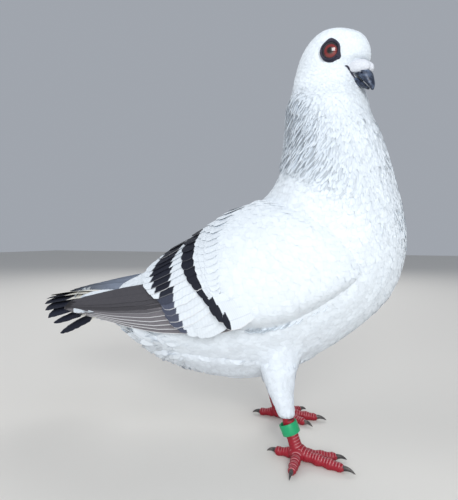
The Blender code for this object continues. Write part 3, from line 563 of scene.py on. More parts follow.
def bodyTint(station, angle, roots, draw, shares):
    # white with painted shade low on the rear underside, and a stranded grey-blue neck
    white, shade, neck = (np.array(plumage[name]) for name in ("white", "shade", "neck"))
    # painted shade: the underside turns greyer towards the tail, where the belly lies in shade
    low = smoothstep(0.3, 0.95, -np.cos(angle)) * smoothstep(9.0, 3.0, station) * 0.35
    behind = smoothstep(9.3, 11.0, station) * smoothstep(16.5, 14.5, station)
    behind = behind * smoothstep(-0.85, 0.55, np.cos(angle)) * 0.75
    base = blend(white, shade, low[:, None])
    base = blend(base, neck, behind[:, None])
    base = base * draw.uniform(0.93, 1.05, len(station))[:, None]
    # painted shade: some strands on the back of the neck and some tufts at the vent are darkened at random, for
    # the shade in the gaps between them
    vent = smoothstep(4.0, 2.0, station) * smoothstep(-0.1, -0.7, np.cos(angle))
    dim = 1 - (0.48 * behind / 0.75 + 0.22 * vent) * (draw.random(len(station)) < 0.30)
    base = base * dim[:, None]
    tip = np.array(plumage["neckTip"])
    glow = (behind * (dim > 0.9))[:, None] * smoothstep(0.55, 1.0, shares)[None]
    return np.clip(blend(base[:, None], tip, glow[..., None]), 0, 1)[:, :, None]


print("scene: materials")
coatFinish = featherFinish("body feathers", 30.0, 0.00018)
fineFinish = featherFinish("head feathers", 12.0, 0.00012)
print("scene: skin")

skinLook = {
    "voxel": 0.0012,
    "smoothing": 6,
    "depth": 0.0014,  # of the coat over the skin of the body
    "headDepth": 0.0007,
    "legTop": 0.050,
    "legDepth": 0.0006,
    "tailStem": ((-0.131, 0.0, 0.0745), (0.026, 0.0175, 0.0092)),  # middle and radii
}


def skinFinish():
    made, tree, shader = nodesOf("skin and down", {"Roughness": 0.85, "Specular IOR Level": 0.2})
    place = placeOf(tree)
    tint = valueOf(tree, "Tint")
    grain = noiseOf(tree, place, 900.0)
    colour = mixColour(tree, scaled(tree, grain, 0.3), tint, (0.45, 0.48, 0.55))
    dressed(tree, shader, colour, grain, 0.5, 0.0004)
    return made


fullness = {"throat": 0.0038, "brow": 0.0014, "cheek": 0.0011}  # at the most, over the head's own form


def headFullness(places):
    # the coat is fuller on the throat, the cheeks and the forehead
    flat = turned(places - stance, -headTurn)
    ahead, aside, height = flat[:, 0] - turnX, flat[:, 1], flat[:, 2]
    beside = np.abs(aside)
    throat = fullness["throat"] * np.exp(-(((height - 0.2030) / 0.0085) ** 2)) * smoothstep(0.000, 0.016, ahead)
    brow = fullness["brow"] * smoothstep(0.2140, 0.2200, height) * smoothstep(0.2395, 0.2320, height)
    brow *= smoothstep(0.006, 0.018, ahead)
    brow *= smoothstep(0.0130, 0.0085, beside)
    cheek = fullness["cheek"] * np.exp(-(((height - 0.1990) / 0.0090) ** 2)) * smoothstep(0.002, 0.010, beside)
    cheek *= np.sign(aside)
    return (throat + brow)[:, None] * headWay(1.0, 0.0, 0.0) + cheek[:, None] * headWay(0.0, 1.0, 0.0)


def makeSkin():
    shape = bmesh.new()
    for name in ("torso", "neck", "head", "thigh_left", "thigh_right", "eye_left", "eye_right"):
        shape.from_mesh(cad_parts[name].data)
    middle, radii = skinLook["tailStem"]
    ball(shape, Matrix.Translation(Vector(inFrame(middle))), radii)
    bmesh.ops.remove_doubles(shape, verts=shape.verts, dist=0.00001)
    mesh = bpy.data.meshes.new("skin")
    shape.to_mesh(mesh)
    shape.free()
    finish = skinFinish()
    skin = linked("skin", mesh, finish)
    shape = melted(skin, skinLook)
    places = np.array([point.co[:] for point in shape.verts])
    station, _, angle = stationOf(places)
    head = smoothstep(14.0, 17.0, station)
    depth = blend(skinLook["depth"], skinLook["headDepth"], head)
    depth[places[:, 2] < skinLook["legTop"]] = skinLook["legDepth"]
    fuller = headFullness(places)
    for point, deep, more in zip(shape.verts, depth, fuller):
        point.co += Vector(more) - point.normal * float(deep)
    closed(skin, shape, finish)
    # the skin takes the coat's tints, painted shade included
    tints = bodyTint(station, angle, places, np.random.default_rng(3), np.array([0.5]))[:, 0, 0]
    paint(skin.data, tints * 0.94)
    layer = skin.data.uv_layers.new(name="OFBake")
    spots = trunkUnwrap(station, angle, places)
    corners = np.empty(len(skin.data.loops), int)
    skin.data.loops.foreach_get("vertex_index", corners)
    layer.data.foreach_set("uv", spots[corners].astype(np.float32).ravel())
    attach(skin, "root")
    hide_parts("torso", "neck", "head", "thigh_left", "thigh_right")
    print(f"skin: {len(skin.data.polygons)} faces")
    return skin


skin = makeSkin()
skinTree = treeOf(skin)

eyeLook = {
    "place": (0.0112, 0.0150, 0.2219),  # on the head's side
    "forward": 21.0,
    "radius": 0.0063,
    "sink": 0.0041,
    "opening": 0.0043,
    "halfWidth": 0.0054,
    "halfHeight": 0.0062,
    "bow": 0.046,
    "corners": ((0.0008, 0.5, 0.35), (0.0011, 1.78, 0.28)),  # of the lids: reach, half turns from ahead, spread
    "steps": 120,  # round the lids
    "gaze": (0.0006, -0.0009),  # of the pupil's middle from the eyeball's, ahead and up
}


def eyeFrame(side):
    aside = 1.0 if side == "left" else -1.0
    lean = math.radians(eyeLook["forward"])
    ahead, out, height = eyeLook["place"]
    place = headPlace(ahead, out * aside, height)
    axis = headWay(math.sin(lean), aside * math.cos(lean), 0.0)
    front = headWay(math.cos(lean), -aside * math.sin(lean), 0.0)
    return place, axis, front


bareLook = {"eye": (0.0059, 0.0067, 0.006), "throat": (0.0248, 0.0, 0.2075), "throatRadius": 0.0035}


def bareFace(places):
    # true on bare places: round the eyes and under the beak's root
    bare = np.zeros(len(places), bool)
    for side in ("left", "right"):
        place, axis, front = eyeFrame(side)
        off = places - place
        x, z = off @ front, off[:, 2]
        wide, high, deep = bareLook["eye"]
        bare |= ((x / wide) ** 2 + (z / high) ** 2 < 1) & (np.abs(off @ axis) < deep)
    off = places - headPlace(*bareLook["throat"])
    return bare | (np.linalg.norm(off, axis=1) < bareLook["throatRadius"])


wingShade = np.array([
    (-0.085, 0.098), (-0.035, 0.124), (0.000, 0.139), (0.022, 0.134), (0.038, 0.124), (0.045, 0.114),
    (0.041, 0.098), (0.028, 0.086), (0.000, 0.077), (-0.030, 0.077), (-0.075, 0.082),
])  # side view of what the folded wings hide


def underWing(places):
    x, _, z = (places - stance).T
    inside = np.zeros(len(places), bool)
    for (oneX, oneZ), (twoX, twoZ) in zip(wingShade, np.roll(wingShade, -1, axis=0)):
        crosses = (oneZ > z) != (twoZ > z)
        inside ^= crosses & (x < (twoX - oneX) * (z - oneZ) / (twoZ - oneZ + 1e-12) + oneX)
    return inside & (np.abs(places[:, 1]) > 0.014)


coatSpacing = {
    # metres from one feather to the next, and how much more that grows to
    "head": (0.00056, 0.00030),
    "neck": (0.00086, 0.00022),
    "body": (0.00128, 0.00032),
    "leg": 0.00098,
}


def trunkSpacing(places):
    # small and close at the face, finer on the legs, larger down the body
    station, _, angle = stationOf(places)
    near = np.linalg.norm(places - beakRoot, axis=1)
    grown = {
        "head": smoothstep(0.006, 0.028, near),
        "neck": smoothstep(14.0, 10.5, station),
        "body": smoothstep(9.0, 3.0, station),
    }
    head, neck, body = (coatSpacing[name][0] + coatSpacing[name][1] * share for name, share in grown.items())
    room = blend(neck, body, smoothstep(10.4, 9.0, station))
    room = blend(room, head, smoothstep(13.4, 15.4, station))
    return blend(room, coatSpacing["leg"], smoothstep(0.056, 0.040, places[:, 2]))


def trunkSize(station, angle, roots):
    # length, width, lift of the tip, and how much a feather is a loose strand
    room = trunkSpacing(roots)
    back = smoothstep(-0.75, 0.25, np.cos(angle))
    neck = smoothstep(9.6, 11.0, station) * smoothstep(15.2, 13.8, station)
    head = smoothstep(13.8, 15.4, station)
    rear = smoothstep(4.0, 1.5, station) * smoothstep(-0.1, -0.7, np.cos(angle))
    leg = smoothstep(0.056, 0.040, roots[:, 2])
    hem = smoothstep(0.031, 0.024, roots[:, 2])
    length = room * (5.8 + 4.0 * neck * (0.3 + 0.7 * back) - 1.4 * head + 4.2 * rear + 1.6 * hem)
    width = room * (2.7 + 0.9 * rear - 1.85 * neck * (0.25 + 0.75 * back) - 0.25 * head)
    lift = 0.00045 + 0.0011 * neck * back - 0.0001 * head + 0.0040 * rear + 0.0002 * leg
    strand = np.clip(0.25 + 0.75 * neck + 0.15 * rear - 0.25 * head, 0, 1)
    return length, width, lift, strand


anywhere, underside, topside = (-99.0, 99.0), (-99.0, -0.2), (-0.2, 99.0)
hem, legTop = 0.0222, 0.047  # heights of the lowest feathers and of the thighs' upper end

coatParts = (
    # name, seed, stations, side, told as the cosine of the angle off the back, heights, then what isn't plain
    ("coat_face", 21, (16.2, 99.0), anywhere, anywhere, {"finish": fineFinish}),
    ("coat_head", 22, (13.6, 16.2), anywhere, anywhere, {"finish": fineFinish}),
    ("coat_nape", 23, (11.4, 13.6), anywhere, anywhere, {"slot": "plumage_neck", "stray": 7.0, "roll": 0.16}),
    ("coat_neck", 24, (9.6, 11.4), anywhere, anywhere, {"slot": "plumage_neck", "stray": 7.0, "roll": 0.13}),
    ("coat_breast", 25, (6.4, 9.6), underside, (legTop, 99.0), {}),
    ("coat_belly", 26, (3.0, 6.4), underside, (legTop, 99.0), {}),
    ("coat_vent", 27, (-99.0, 3.0), underside, (legTop * 0.7, 99.0), {"stray": 18.0, "roll": 0.22}),
    ("coat_back", 28, (-99.0, 9.6), topside, (legTop, 99.0), {}),
    ("coat_thighs", 29, (3.0, 99.0), anywhere, (-99.0, legTop), {}),
)


def trunkCoat(name, seed, stations, side, heights, special):
    def keep(places, normals):
        station, _, angle = stationOf(places)
        up, height = np.cos(angle), places[:, 2]
        wanted = (station > stations[0]) & (station <= stations[1]) & (up >= side[0]) & (up < side[1])
        wanted &= (height > heights[0]) & (height <= heights[1]) & (height > hem)
        return (wanted & ~underWing(places) & ~bareFace(places)).astype(float)

    look = {
        "seed": seed, "spacing": trunkSpacing, "size": trunkSize, "stray": 6.0, "sink": 0.0004, "roll": 0.03,
        "thick": 0.00010, "camber": 0.05, "bow": 0.05, "slot": "plumage_white", "finish": coatFinish, **special,
    }
    bodyCoat(name, skin, keep, look, bodyTint, look["finish"], tree=skinTree)


print("scene: coat")
for part in coatParts:
    trunkCoat(*part)

# Quill feathers of the wings and tail

def wingSection(place, angle):
    row = smoothRow(wingRows, place)
    flat = np.zeros_like(row[..., 0])
    middle = np.stack([(row[..., 0] + row[..., 2]) / 2, flat, (row[..., 1] + row[..., 3]) / 2], axis=-1)
    up = np.stack([(row[..., 0] - row[..., 2]) / 2, flat, (row[..., 1] - row[..., 3]) / 2], axis=-1)
    side = np.stack([flat, -row[..., 4], flat], axis=-1)
    return middle + up * np.cos(angle)[..., None] + side * np.sin(angle)[..., None]


def wingPoint(place, angle, depth):
    # a point so deep under the right wing's outer face, and the way out of that face
    small = 0.02
    place = np.clip(place, small, len(wingRows) - 1 - small)
    here = wingSection(place, angle)
    ahead = wingSection(place + small, angle) - wingSection(place - small, angle)
    out = unit(np.cross(ahead, wingSection(place, angle + small) - here))
    out = np.where(out[..., 1:2] > 0, -out, out)
    return inFrame(here - out * np.asarray(depth)[..., None]), out


def onWing(points):
    # the section and the angle of the wing's outer face at places in side view
    points = np.asarray(points, float)
    low, high = np.zeros(points.shape[:-1]), np.full(points.shape[:-1], len(wingRows) - 1.0)
    for _ in range(30):
        middle = (low + high) / 2
        row = smoothRow(wingRows, middle)
        ahead = (points[..., 0] - row[..., 0]) * (row[..., 1] - row[..., 3])
        ahead = ahead + (points[..., 1] - row[..., 1]) * (row[..., 2] - row[..., 0])
        low, high = np.where(ahead > 0, middle, low), np.where(ahead > 0, high, middle)
    row = smoothRow(wingRows, low)
    span = row[..., 2:4] - row[..., 0:2]
    share = ((points - row[..., 0:2]) * span).sum(axis=-1) / (span**2).sum(axis=-1)
    angle = np.arccos(np.clip(1 - 2 * share, -1, 1))
    return np.stack([low, np.maximum(angle, np.arcsin(wingLook["topAside"] / row[..., 4]))], axis=-1)


wingLook = {
    "topAside": 0.009,
    "front": [(-0.012, 0.1480), (0.010, 0.1470), (0.030, 0.1410), (0.046, 0.1310), (0.056, 0.1180)],
    "belly": [(-0.020, 0.0660), (0.004, 0.0645), (0.027, 0.0735), (0.043, 0.0840), (0.053, 0.1000)],
    "rear": [(-0.035, 0.1368), (-0.040, 0.1200), (-0.035, 0.1030), (-0.028, 0.0870), (-0.018, 0.0680)],
    "depth": 0.0016,
    "sink": {"front": 0.0105, "top": 0.0025, "belly": 0.0062, "rear": 0.0012},  # more of it, at each edge
    "thick": 0.0035,
    "tint": (0.72, 0.765, 0.81),
    "columns": 49,
    "rows": 61,
}


def wingPatchPlace(u, v):
    # the arm's face: u runs from the rear edge to the front, v from the back down to the belly
    rear, front, belly = (onWing(wingLook[name]) for name in ("rear", "front", "belly"))
    top = np.stack([rear[0], (rear[0] + front[0]) / 2, front[0]])
    one, two = u[..., None], v[..., None]
    sides = blend(along(rear, v), along(front, v), one)
    ends = blend(along(top, u), along(belly, u), two)
    corners = (1 - one) * (1 - two) * rear[0] + one * (1 - two) * front[0]
    corners = corners + (1 - one) * two * belly[0] + one * two * belly[-1]
    return sides + ends - corners


def wingPatchDepth(u, v):
    # the face sinks into the coat at the front, to the back and round the lower edge
    sink = wingLook["sink"]
    front = sink["front"] * smoothstep(0.52, 1.0, u) ** 1.3
    top = sink["top"] * smoothstep(0.12, 0.0, v)
    belly = sink["belly"] * smoothstep(0.76, 1.0, v) ** 2
    rear = sink["rear"] * smoothstep(0.12, 0.0, u)
    return wingLook["depth"] + np.maximum(np.maximum(front, top), np.maximum(belly, rear))


def mirroredFor(side, points):
    return points if side == "right" else points * np.array([1.0, -1.0, 1.0])


def wingArm(side):
    columns, rows = wingLook["columns"], wingLook["rows"]
    u, v = np.meshgrid(np.linspace(0, 1, columns), np.linspace(0, 1, rows), indexing="ij")
    places = wingPatchPlace(u, v)
    depth = wingPatchDepth(u, v)
    outer, out = wingPoint(places[..., 0], places[..., 1], depth)
    inner = outer - out * wingLook["thick"]
    shape = bmesh.new()
    grids = []
    for grid in (outer, inner):
        grid = mirroredFor(side, grid)
        grids.append([[shape.verts.new(grid[i, j]) for j in range(rows)] for i in range(columns)])
    for grid in grids:
        for i in range(columns - 1):
            for j in range(rows - 1):
                shape.faces.new((grid[i][j], grid[i + 1][j], grid[i + 1][j + 1], grid[i][j + 1]))
    rims = []
    for grid in grids:
        ring = [grid[i][0] for i in range(columns)] + [grid[-1][j] for j in range(1, rows)]
        ring += [grid[i][-1] for i in range(columns - 2, -1, -1)] + [grid[0][j] for j in range(rows - 2, 0, -1)]
        rims.append(ring)
    edges = [shape.edges.get((ring[i], ring[(i + 1) % len(ring)])) for ring in rims for i in range(len(ring))]
    bmesh.ops.bridge_loops(shape, edges=edges)
    made = fromBmesh("wingArm_" + side, shape, skin.data.materials[0])
    paint(made.data, np.tile(wingLook["tint"], (len(made.data.vertices), 1)))
    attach(made, "root")
    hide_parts("wing_" + side)
    return made


def quillFinish():
    # a quill feather: its tint, a marked stretch across it, a pale rim on its outer web, and barbs
    made, tree, shader = nodesOf("quill feathers", {"Roughness": 0.65, "Specular IOR Level": 0.25})
    place = placeOf(tree)
    width, length = vaneOf(tree)
    span = addNode(tree, "ShaderNodeSeparateXYZ")
    tree.links.new(valueOf(tree, "Span", "Vector"), span.inputs[0])
    begun, ended, pale = span.outputs
    across = calc(tree, "ABSOLUTE", calc(tree, "SUBTRACT", width, 0.5))
    slant = calc(tree, "SUBTRACT", length, scaled(tree, across, 0.10))
    wave = calc(tree, "SUBTRACT", noiseOf(tree, place, 600.0, detail=2.0), 0.5)
    reach = calc(tree, "ADD", slant, scaled(tree, wave, 0.035))
    marked = calc(tree, "MULTIPLY", eased(tree, reach, begun, 60.0), eased(tree, ended, reach, 60.0))
    tone = noiseOf(tree, place, 260.0)
    streak = calc(tree, "SINE", scaled(tree, slant, 2 * math.pi * 17))
    streak = scaled(tree, calc(tree, "MULTIPLY", streak, tone), 0.12)
    shade = calc(tree, "ADD", scaled(tree, tone, 0.30), streak, clamp=True)
    rim = calc(tree, "MULTIPLY", eased(tree, width, 0.945, 40.0), pale)
    shaft = scaled(tree, eased(tree, 0.035, across, 60.0), 0.3)
    colour = mixColour(tree, marked, valueOf(tree, "Tint"), valueOf(tree, "Mark"))
    colour = mixColour(tree, shade, colour, (0.62, 0.64, 0.70), "MULTIPLY")
    colour = mixColour(tree, rim, colour, plumage["paleEdge"])
    colour = mixColour(tree, shaft, colour, (0.60, 0.60, 0.64), "MULTIPLY")
    barb = scaled(tree, calc(tree, "SINE", scaled(tree, slant, 2 * math.pi * 60)), 0.5)
    grain = noiseOf(tree, place, 1600.0, detail=2.0)
    dressed(tree, shader, colour, calc(tree, "ADD", barb, grain), 0.3, 0.0002)
    return made


quillColumns = np.array([-1.0, -0.55, 0.0, 0.55, 1.0])
quillShares = 1 - (1 - np.linspace(0, 1, 19)) ** 1.35


def quillWidths(kind, shares):
    # the share of its full width that a feather has along it
    outlines = {
        "round": ((0.0, 0.55), (0.3, 0.85), (0.6, 1.0), (0.86, 0.93), (0.95, 0.70), (1.0, 0.18)),
        "pointed": ((0.0, 0.65), (0.35, 1.0), (0.65, 0.88), (0.86, 0.56), (0.96, 0.30), (1.0, 0.08)),
        "blunt": ((0.0, 0.35), (0.3, 0.65), (0.7, 1.0), (0.92, 0.97), (0.98, 0.75), (1.0, 0.25)),
    }
    table = np.array(outlines[kind])
    return np.interp(shares, table[:, 0], table[:, 1])


def quills(name, side, feathers, finish, node, seed):
    # feathers with a shaft, two webs and a thin body, each told by its path and its looks
    draw = np.random.default_rng(seed)
    rows, size = len(quillShares), 2 * len(quillColumns) - 2
    rings, webs, baked, tints, marks, spans = [], [], [], [], [], []
    ridge = np.where(quillColumns == 0, 1.0, 0.0)
    for index, feather in enumerate(feathers):
        path, out = feather["path"], unit(feather["out"])
        ahead = unit(np.gradient(path, axis=0))
        down = unit(np.cross(ahead, out))
        down = down * (1.0 if (down * feather["down"]).sum() > 0 else -1.0)
        lean = np.radians(feather["lean"] + draw.normal(0, 0.6))
        ways = down * np.cos(lean) + out * np.sin(lean)
        rise = unit(np.cross(ways, ahead))
        rise = rise * np.sign((rise * out).sum(axis=1, keepdims=True))
        upper, lower = feather["widths"]
        outline = quillWidths(feather["kind"], quillShares)
        ragged = 1 - feather["ragged"] * draw.random((2, rows)) * (draw.random((2, rows)) < 0.35)
        widths = np.stack([upper * outline * ragged[0], lower * outline * ragged[1]])
        sides = np.where(quillColumns < 0, quillColumns * widths[0][:, None], quillColumns * widths[1][:, None])
        shaft = feather["thick"] * 1.6 * (1 - 0.85 * quillShares)
        heights = feather["camber"] * (1 - quillColumns**2)[None] + ridge * shaft[:, None]
        web = feather["thick"] * (1 - 0.5 * quillShares)[:, None] * np.ones(3)
        top = path[:, None] + ways[:, None] * sides[..., None] + rise[:, None] * heights[..., None]
        under = path[:, None] + ways[:, None] * sides[:, 3:0:-1, None]
        lowered = heights[:, 3:0:-1] - web - ridge[3:0:-1] * shaft[:, None]
        under = under + rise[:, None] * lowered[..., None]
        rings.append(np.concatenate([top, under], axis=1))
        u = np.concatenate([quillColumns, quillColumns[3:0:-1]]) / 2 + 0.5
        webs.append(np.stack([np.tile(u, (rows, 1)), np.tile(quillShares[:, None], (1, size))], axis=-1))
        tints.append(np.tile(np.asarray(feather["tint"])[None, None], (rows, size, 1)))
        marks.append(np.asarray(feather.get("mark", feather["tint"])))
        spans.append(np.asarray(feather.get("span", (2.0, 2.0, 0.0))))
        # a strip of the map for each feather
        across, up = webs[-1][..., 0], webs[-1][..., 1]
        column = (index + 0.5 + 0.84 * (across - 0.5)) / len(feathers)
        baked.append(np.stack([column, 0.02 + 0.96 * up], axis=-1))
    rings = mirroredFor(side, np.stack(rings))
    made = ringMesh(name, rings, np.stack(webs), np.stack(baked), np.stack(tints), (0, 4), finish)
    marks, spans = (np.repeat(np.asarray(values, float), rows * size, axis=0) for values in (marks, spans))
    paint(made.data, marks, "Mark")
    layer = made.data.attributes.new("Span", "FLOAT_VECTOR", "POINT")
    layer.data.foreach_set("vector", spans.astype(np.float32).ravel())
    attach(made, "root")
    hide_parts(node)
    print(f"{name}: {len(feathers)} feathers")


def wingQuill(places, depths, **looks):
    # a feather through places on the wing's outer face, each with a depth under it
    spots = along(np.asarray(places), quillShares)
    depth = along(np.asarray(depths)[:, None], quillShares)[:, 0]
    path, out = wingPoint(spots[:, 0], spots[:, 1], depth)
    base = {
        "path": path, "out": out, "down": np.array([0.0, 0.0, -1.0]), "lean": 7.0, "widths": (0.006, 0.006),
        "kind": "round", "ragged": 0.06, "thick": 0.00016, "camber": 0.0002, "tint": plumage["white"],
    }
    base.update(looks)
    return base


def curveLength(one, two):
    return float(np.linalg.norm(wingPoint(one[0], one[1], 0.0)[0] - wingPoint(two[0], two[1], 0.0)[0]))


def spanOf(root, tip, marks):
    # shares of a feather's length at which a mark starts and ends
    whole = curveLength(root, tip)
    return [min(max(curveLength(root, mark) / whole, 0.0), 1.6) for mark in marks]


rowLook = {
    "covertTips": [
        (-0.0480, 0.1290), (-0.0575, 0.1195), (-0.0562, 0.1137), (-0.0534, 0.1067), (-0.0492, 0.1009),
        (-0.0447, 0.0961), (-0.0383, 0.0908), (-0.0311, 0.0848), (-0.0255, 0.0800), (-0.0190, 0.0752),
    ],
    "covertMarks": [
        (-0.0413, 0.1262), (-0.0455, 0.1210), (-0.0466, 0.1167), (-0.0441, 0.1100), (-0.0410, 0.1048),
        (-0.0374, 0.1003), (-0.0333, 0.0945), (-0.0278, 0.0885), (-0.0222, 0.0835), (-0.0165, 0.0785),
    ],
    "secondaryTips": [
        (-0.0740, 0.1140), (-0.0780, 0.1075), (-0.0828, 0.1030), (-0.0844, 0.0989), (-0.0832, 0.0946),
        (-0.0791, 0.0908), (-0.0732, 0.0881), (-0.0662, 0.0842), (-0.0638, 0.0802), (-0.0611, 0.0752),
        (-0.0572, 0.0712), (-0.0504, 0.0692), (-0.0420, 0.0695),
    ],
    "markStart": [
        (-0.0581, 0.1195), (-0.0598, 0.1156), (-0.0619, 0.1111), (-0.0610, 0.1070), (-0.0602, 0.1030),
        (-0.0590, 0.0990), (-0.0566, 0.0950), (-0.0548, 0.0905), (-0.0538, 0.0870), (-0.0525, 0.0835),
        (-0.0500, 0.0800), (-0.0460, 0.0760), (-0.0400, 0.0720),
    ],
    "markEnd": [
        (-0.0700, 0.1130), (-0.0740, 0.1080), (-0.0750, 0.1039), (-0.0757, 0.1005), (-0.0727, 0.0954),
        (-0.0702, 0.0919), (-0.0650, 0.0894), (-0.0740, 0.0840), (-0.0700, 0.0790), (-0.0660, 0.0740),
        (-0.0620, 0.0700), (-0.0560, 0.0680), (-0.0480, 0.0680),
    ],
}


rowPlan = {
    # feathers of a row, depths at root, middle and tip, looks; the lowest coverts lie on the arm's coat
    "secondaries": (17, (0.0040, 0.0030, 0.0019), {"widths": (0.0070, 0.0064), "lean": 4.5, "ragged": 0.08}),
    "coverts": (14, (0.0034, 0.0022, 0.0009), {"widths": (0.0056, 0.0054), "lean": 4.5, "ragged": 0.10}),
    "lowestRaised": (0.0012, 0.0020, 0.0020),
    # rows ahead of those: how many feathers, the share of the way back that they reach, depth of the tips
    "ahead": ((14, 0.44, 0.0006), (15, 0.18, 0.0003), (16, -0.08, 0.0001)),
    "aheadDepths": (0.0030, 0.0017),
    "aheadLooks": {"widths": (0.0052, 0.0050), "lean": 4.5, "ragged": 0.12},
}


def wingRowsOf(side):
    draw = np.random.default_rng(31 if side == "right" else 32)
    rear = onWing(wingLook["rear"])
    tips = {name: onWing(points) for name, points in rowLook.items()}
    white = np.array(plumage["white"])
    feathers = []

    def root(share, tip, behind):
        start = along(rear, 0.03 + 0.86 * share)
        return start + (start - tip) * behind

    count, (rootDepth, midDepth, tipDepth), looks = rowPlan["secondaries"]
    for index in range(count):
        share = index / (count - 1)
        tip = along(tips["secondaryTips"], share)
        base = root(share, tip, 0.20)
        tip = tip + (tip - base) * draw.normal(0, 0.008)
        marks = [along(tips[name], share) for name in ("markStart", "markEnd")]
        span = spanOf(base, tip, marks)
        low = float(smoothstep(0.48, 0.60, share))
        end = span[1] if share < 0.53 else 3.0 * (share < 0.9)
        dark = blend(np.array(plumage["black"]), np.array(plumage["slate"]), low)
        feathers.append(wingQuill(
            [base, (base + tip) / 2, tip], [rootDepth, midDepth, tipDepth + 0.0003 * share],
            tint=white * draw.uniform(0.95, 1.0), mark=dark * draw.uniform(0.85, 1.15),
            span=(min(span[0] + draw.normal(0, 0.012), end), end, draw.choice([0.0, 0.15, 0.6])), **looks,
        ))
    count, depths, looks = rowPlan["coverts"]
    ahead = onWing(np.array(rowLook["covertTips"]) + np.array([0.016, 0.006]))
    for index in range(count):
        share = 0.97 * index / (count - 1)
        low = float(smoothstep(0.66, 0.88, share))
        tip = along(tips["covertTips"], share)
        base = blend(root(share, tip, 0.55), along(ahead, share), low)
        tip = tip + (tip - base) * draw.normal(0, 0.012)
        mark = along(tips["covertMarks"], share)
        span = spanOf(base, tip, [mark])[0]
        raised = [depth - more * low for depth, more in zip(depths, rowPlan["lowestRaised"])]
        feathers.append(wingQuill(
            [base, (base + tip) / 2, tip], raised, tint=white * draw.uniform(0.95, 1.0),
            mark=np.array(plumage["black"]),
            span=(span + draw.normal(0, 0.015), 3.0, draw.choice([0.0, 0.1, 0.7])), **looks,
        ))
    for step, (count, back, tipDepth) in enumerate(rowPlan["ahead"]):
        for index in range(count):
            share = 0.80 * index / (count - 1)
            start = along(rear, 0.02 + 0.90 * share)
            end = along(tips["covertTips"], share)
            tip = start + (end - start) * back
            base = start + (start - end) * (0.75 + 0.2 * step)
            tip = tip + (tip - base) * draw.normal(0, 0.02)
            feathers.append(wingQuill(
                [base, (base + tip) / 2, tip], [*rowPlan["aheadDepths"], tipDepth],
                tint=white * draw.uniform(0.95, 1.0), **rowPlan["aheadLooks"],
            ))
    quills("wingRows_" + side, side, feathers, quillWeb, "wing_" + side, 33)


primaryLook = {
    "count": 9,
    "depths": (0.0058, 0.0050, 0.0030),
    "stacked": 0.0032,  # how much deeper the lowest one's tip lies
    "looks": {"widths": (0.0064, 0.0050), "kind": "pointed", "lean": 5.5, "ragged": 0.05, "thick": 0.00022},
    "roots": [(-0.030, 0.1000), (-0.030, 0.0920), (-0.026, 0.0820), (-0.020, 0.0720)],
    "middles": {
        "right": [(-0.0985, 0.0852), (-0.0965, 0.0785), (-0.0925, 0.0725), (-0.0851, 0.0674)],
        "left": [(-0.096, 0.0960), (-0.100, 0.0890), (-0.100, 0.0810), (-0.092, 0.0720)],
    },
    "tips": {
        "right": [(-0.1500, 0.0758), (-0.1545, 0.0722), (-0.1560, 0.0698), (-0.1540, 0.0678)],
        "left": [(-0.146, 0.0890), (-0.166, 0.0855), (-0.178, 0.0825), (-0.176, 0.0795)],
    },
}


def primaries(side):
    draw = np.random.default_rng(41 if side == "right" else 42)
    roots = onWing(primaryLook["roots"])
    middles, tips = (onWing(primaryLook[name][side]) for name in ("middles", "tips"))
    feathers = []
    count = primaryLook["count"]
    rootDepth, midDepth, tipDepth = primaryLook["depths"]
    for index in range(count):
        share = index / (count - 1)
        base, middle, tip = (along(row, share) for row in (roots, middles, tips))
        low = float(smoothstep(0.25, 0.60, share))
        tint = blend(np.array(plumage["slateBrown"]), np.array(plumage["brown"]), low)
        # painted light: the far wing's primaries are painted a lighter blue-grey than the near wing's
        if side == "left":
            tint = np.array(plumage["blueGreyPaintedLight"])
        feathers.append(wingQuill(
            [base, middle, tip], [rootDepth, midDepth, tipDepth + primaryLook["stacked"] * share],
            tint=tint * draw.uniform(0.88, 1.12), mark=tint * 0.4,
            span=(0.93, 3.0, 0.85 * low if side == "right" else 0.2), **primaryLook["looks"],
        ))
    quills("primaries_" + side, side, feathers, quillWeb, "wing_" + side, 43)


armCoat = {
    "spacing": (0.00145, 0.0008),  # at the front, and how much more at the rear
    "length": 4.8,  # in spacings, as the width
    "width": 2.8,
    "lift": 0.00045,
    "strand": 0.10,
    "rear": ((0.068, 0.087, 0.103, 0.120, 0.137), (-0.009, -0.024, -0.035, -0.040, -0.035)),  # heights, places
    "gap": 0.006,  # from the rear line to the first feathers
}


